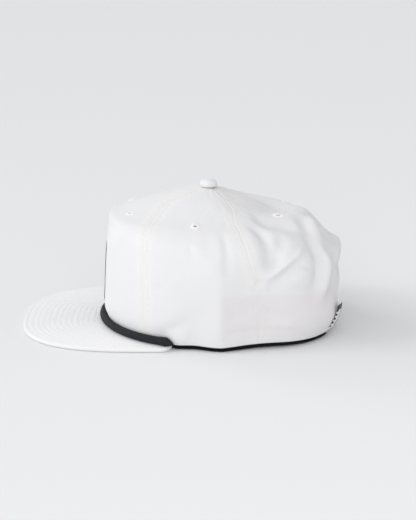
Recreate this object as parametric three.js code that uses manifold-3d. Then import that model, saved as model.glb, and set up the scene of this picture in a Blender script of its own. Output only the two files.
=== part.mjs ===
// A five-panel snapback cap with a flat peak, a rope over the joint and six sewn eyelets.
// Millimetres, +Z up, the peak toward -Y; the cap stands on its peak and its sweatband at z = 0.

import * as THREE from "three";
import { mergeVertices } from "three/addons/utils/BufferGeometryUtils.js";
import Module from "manifold-3d";

const wasm = await Module();
wasm.setup();

// Driving dimensions
const GAP = 0.3; // clear space between two pieces that lie together
const WALL = 1.2; // cloth of the crown
const CROWN_CENTRE_Y = 34; // centre of the hem's oval, from the middle of the whole cap
const HEM_Z = 4; // height of the hem over the ground
const MERIDIAN = 190; // length of the cloth from the hem up to the button
const FLAT_CLIMB = 86; // climb at which the wall turns into the roof
const FOLD_RADIUS = 87; // turns the bearings of a fold on the wall into millimetres of cloth
const ROOF_POWER = 1.3; // how that radius shrinks over the roof
const PANEL_TOP = 184; // climb where the panels end, under the button
const SEAM_INSET = GAP / 2;
const BACK_RADIUS = 100; // from the crown's centre to its back wall, on the smooth form
const TINY = 1e-6; // keeps the oval at the button from dividing by zero

const PEAK = { halfWidth: 85, reach: 108.6, centreY: -60, power: 2.8, thickness: 3.6, bevel: 1.1, steps: 38 };
const PEAK_CORNER = { bearing: 61.5, sideY: -52, controlY: -42.6, underWall: 0.9, steps: 26 };
const ROPE = { radius: 3.2, climb: 3.2, sides: 10, steps: 38, crowding: 0.35 };
// A rope end swells, thins to a point and settles on the peak
const ROPE_END = { bearing: 63.5, taper: 7, past: 0.6, swellWidth: 5 };
const ROPE_END_SHARES = { swell: 1.12, tip: 0.16, settle: 0.7, tuck: 0.6 };
const ROPE_END_POWER = 0.7; // how roundly the end thins
const ROPE_PER_DEGREE = 1.6; // millimetres of rope to a degree of bearing
const BUTTON = { radius: 7.3, height: 5.4, lip: 0.5, sides: 20 };
const EYELET = { outer: 3.7, inner: 1.4, rise: 0.9, lip: 0.3, sides: 10 };
const PUNCH = { radius: 1.7, length: 12, sides: 8 };
const PATCH = { halfWidth: 27, halfHeight: 22.5, centreClimb: 43.5, thickness: 1, roundness: 0.1, cells: 8 };
const SWEATBAND = { top: 32, rowStep: 8, thickness: 1.4, depth: WALL + 0.4, endBearing: 154, margin: 1 };
const ARCH = { halfWidth: 38, springZ: 24, topZ: 52, steps: 14 };
const ARCH_CUT = { fromY: 79, toY: 169, bottomZ: -10 };
const BINDING = { thickness: 1.1, inside: 0.1, outside: 1, footZ: 5 };
const STRAP = { thickness: 1.5, depth: WALL + 0.9, low: 1, high: 19, startBearing: 155.5, steps: 14 };
const SNAP = { count: 6, engaged: 4, pitch: 9, endShare: 0.65, sides: 8 };
const PEG = { radius: 2.1, length: 3.4, root: 0.5 };
const HOLE = { radius: 2.6, reach: 3 };
const SNAP_STEP = THREE.MathUtils.radToDeg(SNAP.pitch / BACK_RADIUS); // bearing from snap to snap
const STRAP_PAST = (SNAP_STEP * (SNAP.engaged - 1 + 2 * SNAP.endShare)) / 2; // bearing past the middle
const LABEL = { low: 4, high: 23.5, fromX: 39.5, toX: 47, thickness: 1, flare: 3 };

// Rows of numbers as records with named columns
function table(columns, rows) {
  return rows.map((row) => Object.fromEntries(columns.map((column, k) => [column, row[k]])));
}

// The crown's rings from the hem to the button. Each is an oval about its own centre: half lengths to
// the front, side and back, how square its front and back halves are, and its height at the three.
const RINGS = table(
  ["climb", "centre", "front", "side", "back", "squareF", "squareB", "zF", "zS", "zB"],
  [
    [0, 0, 96.8, 83.9, 96.4, 2, 2.35, 4, 4, 4],
    [12, 0, 98.8, 85.2, 100.8, 2.2, 2.5, 16, 16, 16],
    [36, 0, 98.1, 85.6, 98.8, 2.4, 2.6, 40, 40, 38],
    [64, 0, 96.5, 83.2, 99, 2.4, 2.6, 70, 68, 63],
    [84, -1, 94, 76.5, 89.5, 2.4, 2.5, 89, 85.5, 75.5],
    [97, -3, 90.5, 67, 81, 2.3, 2.4, 95.5, 93.5, 88],
    [110, -6, 78, 54, 76, 2.2, 2.2, 99, 99, 94],
    [139, -9, 50, 32.5, 48, 2, 2, 108, 109, 98.5],
    [167, -11, 23, 14.5, 22, 2, 2, 114.5, 114.5, 109.5],
    [190, -11.6, 0, 0, 0, 2, 2, 117.8, 117.8, 117.8],
  ],
);

// Bearing of the seams from the front, on both sides, as they climb
const SEAMS = table(
  ["climb", "front", "back"],
  [
    [0, 46.4, 109.6],
    [40, 48.6, 108.3],
    [62, 47.6, 105.8],
    [84, 45.4, 103.8],
    [97, 43.8, 104],
    [110, 40.8, 106.5],
    [140, 32, 117],
    [190, 29, 124],
  ],
);

// Folds and dents: a line on the cloth from one bearing and climb to another, how wide it spreads, how
// far it stands out (or in, below zero), and whether its crest is sharp. Left bearings are positive.
const SOFT = false;
const SHARP = true;
const FOLDS = table(
  ["b0", "c0", "b1", "c1", "width", "height", "sharp"],
  [
    [89.3, -14, 89.3, 88, 17, 3.2, SHARP], // left side crease
    [91.5, 60, 92.5, 96, 5, -1.6, SOFT], // dent beside its top
    [111, -35, 111, 62, 27, -5.2, SOFT], // flat left flank
    [75, -26, 75, 34, 11, -2, SOFT], // pinch behind the rope
    [88, 60, 73, 86, 7, 1.3, SOFT], // slack edge on the side
    [120, 106, 115, 66, 6.5, -4.4, SOFT], // hollow behind the seam
    [113, 67, 130, 95, 4.8, -3, SOFT], // groove above the ridge
    [114.5, 58, 136, 83, 3.6, 3.2, SHARP], // slanting ridge
    [115, 49, 131, 73, 5, -2.8, SOFT], // valley under the ridge
    [127, 50, 133, 64, 9, 2, SOFT], // pillow under the valley
    [163, 112, 145, 86, 5.5, -3, SOFT], // corner valley, upper
    [145, 88, 138, 46, 5, -3.4, SOFT], // corner valley, lower
    [172, 107, 151, 84, 6, 3.2, SOFT], // corner ridge, upper
    [150, 86, 142.5, 36, 5, 3.6, SOFT], // corner ridge, lower
    [185, 103, 168, 80, 7, -2.5, SOFT], // back hollow, upper
    [160, 74, 153, 38, 7, -3.4, SOFT], // back hollow, lower
    [166, 74, 196, 66, 7, 3.6, SOFT], // roll across the back
    [152, 52, 196, 52, 8, -3.4, SOFT], // dip above the arch
    [160, 130, 200, 130, 11, -3.4, SOFT], // dip in the back roof
    [128, 118, 150, 104, 12, -4.4, SOFT], // dent under the back eyelet
    [159, 132, 173, 113, 9, 3, SOFT], // rise behind the back eyelet
    [54, 6, 71, 22, 5, -2, SOFT], // tuck over the rope end
    [62, 2, 71, 8, 5, 1.6, SOFT], // flare under the tuck
    [-86, -14, -88, 84, 15, 3, SHARP], // right side crease
    [-107, -35, -108, 60, 24, -4.6, SOFT], // flat right flank
    [-73, -24, -73, 34, 11, -1.8, SOFT], // right pinch
    [-112, 98, -115, 62, 8, -3.2, SOFT], // right hollow
    [-113, 52, -130, 78, 5.5, 3.2, SHARP], // right slanting ridge
    [-112, 38, -124, 58, 6, -2.6, SOFT], // right valley
    [-158, 112, -142, 84, 6, -3, SOFT], // right corner valley, upper
    [-136, 86, -134, 44, 6, -2.8, SOFT], // right corner valley, lower
    [-146, 88, -141, 30, 6, 3, SOFT], // right corner ridge
    [-157, 76, -155, 36, 8, -3, SOFT], // right back hollow
  ],
);

// Where the cloth is cut into rows, finer where it folds
const ROWS = {
  front: [{ to: 32, step: 8 }, { to: 116, step: 9.3 }, { to: PANEL_TOP, step: 17 }],
  side: [{ to: 32, step: 8 }, { to: 116, step: 9.3 }, { to: PANEL_TOP, step: 17 }],
  back: [{ to: 32, step: 8 }, { to: 116, step: 6 }, { to: PANEL_TOP, step: 11.4 }],
};
const COLUMNS = { front: 10, side: 12, back: 18 };

const EYELETS = table(["name", "panel", "bearing", "climb"], [
  ["eyelet_front_left", "front_panel", 18.7, 111.7],
  ["eyelet_front_right", "front_panel", -18.7, 111.7],
  ["eyelet_side_left", "side_panel_left", 73.4, 106],
  ["eyelet_side_right", "side_panel_right", -73.4, 106],
  ["eyelet_back_left", "back_panel_left", 154.5, 123],
  ["eyelet_back_right", "back_panel_right", -153, 112],
]);

const MATERIALS = {
  cloth: { color: 0xeeedef, roughness: 0.92, metalness: 0 },
  thread: { color: 0xf2f1f0, roughness: 0.8, metalness: 0 },
  rope: { color: 0x24262b, roughness: 0.75, metalness: 0 },
  band: { color: 0x17171a, roughness: 0.9, metalness: 0 },
  patch: { color: 0x1f2a44, roughness: 0.8, metalness: 0 },
  plastic: { color: 0xf0f0ee, roughness: 0.4, metalness: 0 },
};

const cap = new THREE.Group();

function addPiece(name, geometry, materialName) {
  const mesh = new THREE.Mesh(geometry, new THREE.MeshStandardMaterial(MATERIALS[materialName]));
  mesh.name = name;
  cap.add(mesh);
}

// Smooth curve through a table's column, with three-point slopes
function alongTable(table, column, climb) {
  const last = table.length - 1;
  const steep = (k) => (table[k + 1][column] - table[k][column]) / (table[k + 1].climb - table[k].climb);
  const slope = (k) => {
    if (k === 0) return steep(0);
    if (k === last) return steep(last - 1);
    const before = table[k].climb - table[k - 1].climb;
    const after = table[k + 1].climb - table[k].climb;
    return (steep(k - 1) * after + steep(k) * before) / (before + after);
  };
  let k = 0;
  while (k < last - 1 && climb > table[k + 1].climb) k += 1;
  const span = table[k + 1].climb - table[k].climb;
  const s = THREE.MathUtils.clamp((climb - table[k].climb) / span, 0, 1);
  const rise = s * s * (3 - 2 * s);
  const start = slope(k) * span * s * (1 - s) * (1 - s);
  const end = slope(k + 1) * span * s * s * (s - 1);
  return table[k][column] * (1 - rise) + table[k + 1][column] * rise + start + end;
}

// The crown's outer surface without folds
function smoothCrown(bearing, climb) {
  const at = (column) => alongTable(RINGS, column, climb);
  const angle = THREE.MathUtils.degToRad(bearing);
  const toward = Math.cos(angle);
  const isFront = toward > 0;
  const square = at(isFront ? "squareF" : "squareB");
  const length = Math.max(at(isFront ? "front" : "back"), TINY);
  const width = Math.max(at("side"), TINY);
  const sum = Math.abs(Math.sin(angle) / width) ** square + Math.abs(toward / length) ** square;
  const reach = sum ** (-1 / square);
  const share = toward * toward;
  const height = at("zS") * (1 - share) + at(isFront ? "zF" : "zB") * share;
  const y = CROWN_CENTRE_Y + at("centre") - reach * toward;
  return new THREE.Vector3(reach * Math.sin(angle), y, height);
}

function smoothNormal(bearing, climb) {
  const turn = 0.2;
  const step = 0.4;
  const low = Math.max(climb - step, 0);
  const high = Math.min(climb + step, MERIDIAN);
  const around = smoothCrown(bearing + turn, climb).sub(smoothCrown(bearing - turn, climb));
  const up = smoothCrown(bearing, high).sub(smoothCrown(bearing, low));
  return around.cross(up).normalize();
}

// Share of a fold's height at a distance from its line, as a share of its width
function crest(off, sharp) {
  const steepness = 1.5;
  const rounding = 0.02;
  if (!sharp) return Math.exp(-off * off);
  return Math.exp(-steepness * (Math.sqrt(off * off + rounding) - Math.sqrt(rounding)));
}

// How far the folds push the cloth out at one place
function foldHeight(bearing, climb) {
  const roof = THREE.MathUtils.clamp((climb - FLAT_CLIMB) / (MERIDIAN - FLAT_CLIMB), 0, 1);
  const radius = FOLD_RADIUS * (1 - roof ** ROOF_POWER);
  let total = 0;
  for (const fold of FOLDS) {
    const middle = (fold.b0 + fold.b1) / 2;
    const away = THREE.MathUtils.euclideanModulo(bearing - middle + 180, 360) - 180;
    const across = THREE.MathUtils.degToRad(away) * radius;
    const up = climb - (fold.c0 + fold.c1) / 2;
    const halfAcross = (THREE.MathUtils.degToRad(fold.b1 - fold.b0) / 2) * radius;
    const halfUp = (fold.c1 - fold.c0) / 2;
    const half = Math.max(Math.hypot(halfAcross, halfUp), TINY);
    const along = (across * halfAcross + up * halfUp) / (half * half);
    const off = Math.abs(across * halfUp - up * halfAcross) / half / fold.width;
    total += fold.height * crest(off, fold.sharp) * Math.exp(-(along ** 4));
  }
  return total;
}

// A point on the crown, a given depth inside its folded outer surface
function crownPoint(bearing, climb, depth = 0) {
  const out = foldHeight(bearing, climb) - depth;
  return smoothCrown(bearing, climb).addScaledVector(smoothNormal(bearing, climb), out);
}

function crownNormal(bearing, climb) {
  const turn = 1.5;
  const step = 2;
  const around = crownPoint(bearing + turn, climb).sub(crownPoint(bearing - turn, climb));
  const up = crownPoint(bearing, climb + step).sub(crownPoint(bearing, climb - step));
  return around.cross(up).normalize();
}

// The place on the back of the crown that has a given x and z
function backPlace(x, z) {
  const tries = 12;
  let bearing = 180 - THREE.MathUtils.radToDeg(Math.asin(x / BACK_RADIUS));
  let climb = z - HEM_Z;
  for (let turn = 0; turn < tries; turn += 1) {
    const here = crownPoint(bearing, climb);
    const radius = Math.hypot(here.x, here.y - CROWN_CENTRE_Y);
    bearing -= THREE.MathUtils.radToDeg((x - here.x) / radius);
    climb = Math.max(climb + (z - here.z), 0);
  }
  return { bearing, climb };
}

// A closed solid from two grids of points, the outer one seen from outside
function wallSolid(outer, inner) {
  const rows = outer.length;
  const columns = outer[0].length;
  const out = (row, column) => row * columns + column;
  const inn = (row, column) => (rows + row) * columns + column;
  const index = [];
  const quad = (a, b, c, d) => index.push(a, b, c, a, c, d);
  for (let row = 0; row < rows - 1; row += 1) {
    for (let column = 0; column < columns - 1; column += 1) {
      quad(out(row, column), out(row, column + 1), out(row + 1, column + 1), out(row + 1, column));
      quad(inn(row, column), inn(row + 1, column), inn(row + 1, column + 1), inn(row, column + 1));
    }
    quad(out(row, 0), out(row + 1, 0), inn(row + 1, 0), inn(row, 0));
    quad(out(row, columns - 1), inn(row, columns - 1), inn(row + 1, columns - 1), out(row + 1, columns - 1));
  }
  for (let column = 0; column < columns - 1; column += 1) {
    quad(inn(0, column), inn(0, column + 1), out(0, column + 1), out(0, column));
    quad(out(rows - 1, column), out(rows - 1, column + 1), inn(rows - 1, column + 1), inn(rows - 1, column));
  }
  const points = [...outer.flat(), ...inner.flat()];
  const geometry = new THREE.BufferGeometry();
  geometry.setAttribute("position", new THREE.Float32BufferAttribute(points.flatMap((p) => p.toArray()), 3));
  geometry.setIndex(index);
  return geometry;
}

// A closed solid through rings of points that run anticlockwise seen against the way of travel
function loftSolid(rings) {
  const sides = rings[0].length;
  const points = rings.flat();
  const middle = (ring) => ring.reduce((sum, p) => sum.add(p), new THREE.Vector3()).divideScalar(sides);
  const start = points.push(middle(rings[0])) - 1;
  const end = points.push(middle(rings[rings.length - 1])) - 1;
  const index = [];
  for (let ring = 0; ring < rings.length - 1; ring += 1) {
    for (let side = 0; side < sides; side += 1) {
      const a = ring * sides + side;
      const b = ring * sides + ((side + 1) % sides);
      index.push(a, b, b + sides, a, b + sides, a + sides);
    }
  }
  const lastRing = (rings.length - 1) * sides;
  for (let side = 0; side < sides; side += 1) {
    const next = (side + 1) % sides;
    index.push(start, next, side, end, lastRing + side, lastRing + next);
  }
  const geometry = new THREE.BufferGeometry();
  geometry.setAttribute("position", new THREE.Float32BufferAttribute(points.flatMap((p) => p.toArray()), 3));
  geometry.setIndex(index);
  return geometry;
}

function toManifold(geometry) {
  const bare = geometry.clone();
  bare.deleteAttribute("normal");
  bare.deleteAttribute("uv");
  const merged = mergeVertices(bare, 1e-4);
  return new wasm.Manifold(
    new wasm.Mesh({
      numProp: 3,
      vertProperties: new Float32Array(merged.attributes.position.array),
      triVerts: new Uint32Array(merged.index.array),
    }),
  );
}

function fromManifold(solid) {
  const mesh = solid.getMesh();
  const geometry = new THREE.BufferGeometry();
  geometry.setAttribute("position", new THREE.BufferAttribute(new Float32Array(mesh.vertProperties), 3));
  geometry.setIndex(new THREE.BufferAttribute(new Uint32Array(mesh.triVerts), 1));
  return geometry;
}

function rowClimbs(spans) {
  const climbs = [0];
  for (const span of spans) {
    const from = climbs[climbs.length - 1];
    const count = Math.max(Math.round((span.to - from) / span.step), 1);
    for (let row = 1; row <= count; row += 1) climbs.push(from + ((span.to - from) * row) / count);
  }
  return climbs;
}

// Bearings of a panel's two edges at one climb, before the gap at the seam is taken off
function panelEdges(kind, side, climb) {
  const front = alongTable(SEAMS, "front", climb);
  const back = alongTable(SEAMS, "back", climb);
  if (kind === "front") return [-front, front];
  const edges = kind === "side" ? [front, back] : [back, 180];
  return side > 0 ? edges : [-edges[1], -edges[0]];
}

function panelBearings(kind, side, climb, inset) {
  const [from, to] = panelEdges(kind, side, climb);
  const middle = smoothCrown((from + to) / 2, climb);
  const axisY = CROWN_CENTRE_Y + alongTable(RINGS, "centre", climb);
  const narrowed = THREE.MathUtils.radToDeg(inset / Math.hypot(middle.x, middle.y - axisY));
  const count = COLUMNS[kind];
  const bearings = [];
  for (let column = 0; column <= count; column += 1) {
    bearings.push(THREE.MathUtils.lerp(from + narrowed, to - narrowed, column / count));
  }
  return bearings;
}

function panelSolid(kind, side) {
  const climbs = rowClimbs(ROWS[kind]);
  const row = (climb, depth) =>
    panelBearings(kind, side, climb, SEAM_INSET).map((bearing) => crownPoint(bearing, climb, depth));
  const layer = (depth) => climbs.map((climb) => row(climb, depth));
  return wallSolid(layer(0), layer(WALL));
}

// One panel with the holes of its eyelets
function punchedPanel(name, kind, side) {
  let panel = toManifold(panelSolid(kind, side));
  for (const { bearing, climb } of EYELETS.filter((eyelet) => eyelet.panel === name)) {
    const drill = new THREE.CylinderGeometry(PUNCH.radius, PUNCH.radius, PUNCH.length, PUNCH.sides);
    drill.rotateX(Math.PI / 2);
    const place = new THREE.Object3D();
    place.position.copy(crownPoint(bearing, climb));
    place.quaternion.setFromUnitVectors(new THREE.Vector3(0, 0, 1), crownNormal(bearing, climb));
    place.updateMatrix();
    drill.applyMatrix4(place.matrix);
    panel = panel.subtract(toManifold(drill));
  }
  return panel;
}

function archShape() {
  const shape = new THREE.Shape();
  shape.moveTo(-ARCH.halfWidth, ARCH_CUT.bottomZ);
  shape.lineTo(ARCH.halfWidth, ARCH_CUT.bottomZ);
  for (const point of archCurve()) shape.lineTo(point.x, point.y);
  return shape;
}

// The arch from its right foot over the top to its left foot, as x and z
function archCurve() {
  const points = [];
  for (let step = 0; step <= ARCH.steps; step += 1) {
    const angle = (Math.PI * step) / ARCH.steps;
    const rise = (ARCH.topZ - ARCH.springZ) * Math.sin(angle);
    points.push(new THREE.Vector2(ARCH.halfWidth * Math.cos(angle), ARCH.springZ + rise));
  }
  return points;
}

// The block of air behind the wearer's head, cut through the two back panels
function archCutter() {
  const depth = ARCH_CUT.toY - ARCH_CUT.fromY;
  const cutter = new THREE.ExtrudeGeometry(archShape(), { depth, bevelEnabled: false });
  cutter.rotateX(Math.PI / 2);
  cutter.translate(0, ARCH_CUT.toY, 0);
  return toManifold(cutter);
}

function buildCrown() {
  addPiece("front_panel", fromManifold(punchedPanel("front_panel", "front", 1)), "cloth");
  const arch = archCutter();
  for (const [hand, side] of [["left", 1], ["right", -1]]) {
    const sidePanel = punchedPanel(`side_panel_${hand}`, "side", side);
    addPiece(`side_panel_${hand}`, fromManifold(sidePanel), "cloth");
    const backPanel = punchedPanel(`back_panel_${hand}`, "back", side).subtract(arch);
    addPiece(`back_panel_${hand}`, fromManifold(backPanel), "cloth");
  }
}

// Ring of thread around a punched hole, seated on the cloth
function buildEyelets() {
  const { outer, inner, rise, lip, sides } = EYELET;
  const profile = [
    new THREE.Vector2(inner, 0),
    new THREE.Vector2(outer, 0),
    new THREE.Vector2(outer - lip, rise * 0.65),
    new THREE.Vector2((outer + inner) / 2, rise),
    new THREE.Vector2(inner + lip / 2, rise * 0.7),
    new THREE.Vector2(inner, 0),
  ];
  const ring = new THREE.LatheGeometry(profile, sides).rotateX(Math.PI / 2);
  for (const { name, bearing, climb } of EYELETS) {
    const normal = crownNormal(bearing, climb);
    const place = new THREE.Object3D();
    place.position.copy(crownPoint(bearing, climb)).addScaledVector(normal, GAP);
    place.quaternion.setFromUnitVectors(new THREE.Vector3(0, 0, 1), normal);
    place.updateMatrix();
    addPiece(name, ring.clone().applyMatrix4(place.matrix), "thread");
  }
}

// Dome that covers the point where the five panels meet, hollowed to sit on them
function buildButton() {
  const apex = smoothCrown(0, MERIDIAN);
  const { radius, height, lip, sides } = BUTTON;
  const profile = [
    new THREE.Vector2(0, GAP),
    new THREE.Vector2(radius - lip, -lip),
    new THREE.Vector2(radius, lip),
    new THREE.Vector2(radius * 0.97, height * 0.4),
    new THREE.Vector2(radius * 0.82, height * 0.72),
    new THREE.Vector2(radius * 0.5, height * 0.93),
    new THREE.Vector2(0, height),
  ];
  const button = new THREE.LatheGeometry(profile, sides).rotateX(Math.PI / 2);
  button.translate(apex.x, apex.y, apex.z);
  addPiece("button", button, "cloth");
}

// Half of the peak's outline is a rounded oval; its rear edge follows the hem
function peakShape() {
  const shape = new THREE.Shape();
  const middleY = CROWN_CENTRE_Y + PEAK.centreY;
  const rim = PEAK.bevel;
  const outline = (angle) => {
    const x = Math.sign(Math.cos(angle)) * Math.abs(Math.cos(angle)) ** (2 / PEAK.power);
    const y = Math.abs(Math.sin(angle)) ** (2 / PEAK.power);
    return [x * (PEAK.halfWidth - rim), middleY - y * (PEAK.reach - rim)];
  };
  const under = (bearing) => {
    const edge = crownPoint(bearing, 0, PEAK_CORNER.underWall - rim);
    return [edge.x, edge.y];
  };
  const corner = PEAK_CORNER.bearing;
  const sideY = CROWN_CENTRE_Y + PEAK_CORNER.sideY;
  const controlY = CROWN_CENTRE_Y + PEAK_CORNER.controlY;
  shape.moveTo(...under(-corner));
  shape.quadraticCurveTo(-PEAK.halfWidth + rim, controlY, -PEAK.halfWidth + rim, sideY);
  for (let step = 0; step <= PEAK.steps; step += 1) {
    shape.lineTo(...outline(Math.PI - (Math.PI * step) / PEAK.steps));
  }
  shape.lineTo(PEAK.halfWidth - rim, sideY);
  shape.quadraticCurveTo(PEAK.halfWidth - rim, controlY, ...under(corner));
  for (let step = 1; step < PEAK_CORNER.steps; step += 1) {
    shape.lineTo(...under(corner - (2 * corner * step) / PEAK_CORNER.steps));
  }
  return shape;
}

function buildPeak() {
  const { bevel, thickness } = PEAK;
  const peak = new THREE.ExtrudeGeometry(peakShape(), {
    depth: thickness - 2 * bevel,
    bevelThickness: bevel,
    bevelSize: bevel,
    bevelSegments: 2,
    curveSegments: 5,
  });
  peak.translate(0, 0, bevel);
  addPiece("peak", fromManifold(toManifold(peak)), "cloth");
}

// Braided cord over the joint of crown and peak, its ends swollen and drawn out to a point
function buildRope() {
  const { radius, climb, sides, steps, crowding } = ROPE;
  const { taper, past, swellWidth } = ROPE_END;
  const { swell, tip, settle, tuck } = ROPE_END_SHARES;
  const lowestZ = PEAK.thickness + GAP;
  const centre = (bearing) => {
    const wall = crownPoint(bearing, climb);
    const out = smoothNormal(bearing, climb).setZ(0).normalize();
    return wall.addScaledVector(out, radius + GAP).setZ(lowestZ + radius);
  };
  const rings = [];
  for (let step = 0; step <= steps; step += 1) {
    const even = (2 * step) / steps - 1;
    const crowded = -Math.cos((Math.PI * step) / steps);
    const bearing = ROPE_END.bearing * (crowding * crowded + (1 - crowding) * even);
    const middle = centre(bearing);
    const ahead = centre(bearing + 0.5).sub(centre(bearing - 0.5)).normalize();
    const outward = new THREE.Vector3().crossVectors(ahead, new THREE.Vector3(0, 0, 1));
    const toEnd = (ROPE_END.bearing - Math.abs(bearing)) * ROPE_PER_DEGREE;
    const point = THREE.MathUtils.smoothstep(toEnd, -past, taper) ** ROPE_END_POWER;
    const swollen = 1 + (swell - 1) * Math.exp(-(((toEnd - taper) / swellWidth) ** 2));
    const size = radius * (tip + (1 - tip) * point) * swollen;
    const seat = lowestZ + radius - (radius - size) * settle;
    const shift = radius * (swollen - 1) - (radius * swollen - size) * tuck;
    const ring = [];
    for (let side = 0; side < sides; side += 1) {
      const angle = (-2 * Math.PI * side) / sides;
      const spot = middle.clone().addScaledVector(outward, size * Math.cos(angle) + shift);
      ring.push(spot.setZ(Math.max(seat + size * Math.sin(angle), lowestZ)));
    }
    rings.push(ring);
  }
  addPiece("rope", loftSolid(rings), "rope");
}

// Rounded badge on the front, following the cloth
function buildPatch() {
  const { halfWidth, halfHeight, centreClimb, thickness, roundness, cells } = PATCH;
  const layer = (lift) => {
    const rows = [];
    for (let row = 0; row <= cells; row += 1) {
      const t = (2 * row) / cells - 1;
      const line = [];
      for (let column = 0; column <= cells; column += 1) {
        const s = (2 * column) / cells - 1;
        const x = s * halfWidth * Math.sqrt(1 - roundness * t * t);
        const climb = centreClimb + t * halfHeight * Math.sqrt(1 - roundness * s * s);
        const reach = alongTable(RINGS, "front", climb);
        line.push(crownPoint(THREE.MathUtils.radToDeg(Math.asin(x / reach)), climb, -lift));
      }
      rows.push(line);
    }
    return rows;
  };
  addPiece("front_patch", wallSolid(layer(GAP + thickness), layer(GAP)), "patch");
}

// Dark band inside the hem; its lower edge stands on the ground
function buildSweatband() {
  const { top, rowStep, thickness, depth, endBearing, margin } = SWEATBAND;
  const climbs = rowClimbs([{ to: top, step: rowStep }]);
  const bearingsAt = (climb) => {
    const all = [
      ...panelBearings("back", -1, climb, 0),
      ...panelBearings("side", -1, climb, 0).slice(1),
      ...panelBearings("front", 1, climb, 0).slice(1),
      ...panelBearings("side", 1, climb, 0).slice(1),
      ...panelBearings("back", 1, climb, 0).slice(1),
    ];
    const inside = all.filter((bearing) => Math.abs(bearing) < endBearing - margin);
    return [-endBearing, ...inside, endBearing];
  };
  const layer = (inset) => {
    const rows = climbs.map((climb) => bearingsAt(climb).map((bearing) => crownPoint(bearing, climb, inset)));
    const foot = rows[0].map((point) => point.clone().setZ(0));
    return [foot, ...rows];
  };
  addPiece("sweatband", wallSolid(layer(depth), layer(depth + thickness)), "band");
}

// Cloth edging that lines the closure arch
function buildArchBinding() {
  const { thickness, inside, outside, footZ } = BINDING;
  const curve = archCurve();
  const foot = new THREE.Vector2(ARCH.halfWidth, footZ);
  const line = [foot, ...curve, new THREE.Vector2(-foot.x, foot.y)];
  const rings = line.map((point, k) => {
    const before = line[Math.max(k - 1, 0)];
    const after = line[Math.min(k + 1, line.length - 1)];
    const along = after.clone().sub(before).normalize();
    const inward = new THREE.Vector2(-along.y, along.x);
    const place = backPlace(point.x, point.y);
    const wallY = crownPoint(place.bearing, place.climb).y;
    const corner = (offset, y) =>
      new THREE.Vector3(point.x + inward.x * offset, y, point.y + inward.y * offset);
    return [
      corner(GAP, wallY - WALL - inside),
      corner(GAP, wallY + outside),
      corner(GAP + thickness, wallY + outside),
      corner(GAP + thickness, wallY - WALL - inside),
    ];
  });
  addPiece("arch_binding", loftSolid(rings), "cloth");
}

// One plastic strap: a strip of the crown's own outline at a given depth
function strapStrip(side, depth) {
  const from = STRAP.startBearing;
  const to = 180 + STRAP_PAST;
  const bearings = [];
  for (let step = 0; step <= STRAP.steps; step += 1) {
    bearings.push(side * (from + ((to - from) * step) / STRAP.steps));
  }
  if (side < 0) bearings.reverse();
  const layer = (inset) =>
    [STRAP.low, STRAP.high].map((climb) => bearings.map((bearing) => crownPoint(bearing, climb, inset)));
  return toManifold(wallSolid(layer(depth), layer(depth + STRAP.thickness)));
}

// Round pins that stand across a strap at equal steps from its free end
function pinRow(side, radius, startDepth, length) {
  const pins = [];
  for (let pin = 0; pin < SNAP.count; pin += 1) {
    const bearing = side * (180 + STRAP_PAST - SNAP_STEP * (pin + SNAP.endShare));
    const low = crownPoint(bearing, STRAP.low, startDepth);
    const high = crownPoint(bearing, STRAP.high, startDepth);
    const along = crownPoint(bearing + 1, STRAP.low, startDepth).sub(low);
    const out = along.cross(high.clone().sub(low)).normalize();
    const rod = new THREE.CylinderGeometry(radius, radius, length, SNAP.sides).rotateX(Math.PI / 2);
    const place = new THREE.Object3D();
    place.position.copy(low.lerp(high, 0.5)).addScaledVector(out, length / 2);
    place.quaternion.setFromUnitVectors(new THREE.Vector3(0, 0, 1), out);
    place.updateMatrix();
    pins.push(toManifold(rod.applyMatrix4(place.matrix)));
  }
  return pins;
}

// The closure: the strap with holes lies outside, the strap with pegs inside it
function buildStraps() {
  const outerDepth = STRAP.depth;
  const innerDepth = outerDepth + STRAP.thickness + GAP;
  let holes = strapStrip(-1, outerDepth);
  const drills = pinRow(-1, HOLE.radius, outerDepth + HOLE.reach, 2 * HOLE.reach);
  for (const drill of drills) holes = holes.subtract(drill);
  let pegs = strapStrip(1, innerDepth);
  const posts = pinRow(1, PEG.radius, innerDepth + PEG.root, PEG.length);
  for (const post of posts) pegs = pegs.add(post);
  addPiece("strap_holes", fromManifold(holes), "plastic");
  addPiece("strap_pegs", fromManifold(pegs), "plastic");
}

// Small folded tab beside the arch, its top standing away from the cloth
function buildLabel() {
  const { low, high, fromX, toX, thickness, flare } = LABEL;
  const layer = (lift) =>
    [low, (low + high) / 2, high].map((climb) =>
      [toX, (fromX + toX) / 2, fromX].map((x) => {
        const place = backPlace(x, HEM_Z + climb);
        const off = lift + flare * ((climb - low) / (high - low)) ** 2;
        return crownPoint(place.bearing, place.climb, -off);
      }),
    );
  addPiece("back_label", wallSolid(layer(GAP + thickness), layer(GAP)), "patch");
}

buildCrown();
buildEyelets();
buildButton();
buildPeak();
buildRope();
buildPatch();
buildSweatband();
buildArchBinding();
buildStraps();
buildLabel();

export default cap;
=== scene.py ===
"""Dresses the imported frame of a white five-panel snapback cap for its studio picture.

Sizes below are in millimetres in the frame of the part: +Z up, the peak toward -Y, +X to the
wearer's left. Meshes are written in metres.
"""

import logging  # noqa: E402
import math  # noqa: E402
from dataclasses import dataclass, field  # noqa: E402
from enum import Enum  # noqa: E402
from typing import Callable, Sequence  # noqa: E402

import bpy  # noqa: E402
import numpy as np  # noqa: E402
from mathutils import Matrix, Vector  # noqa: E402

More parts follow.
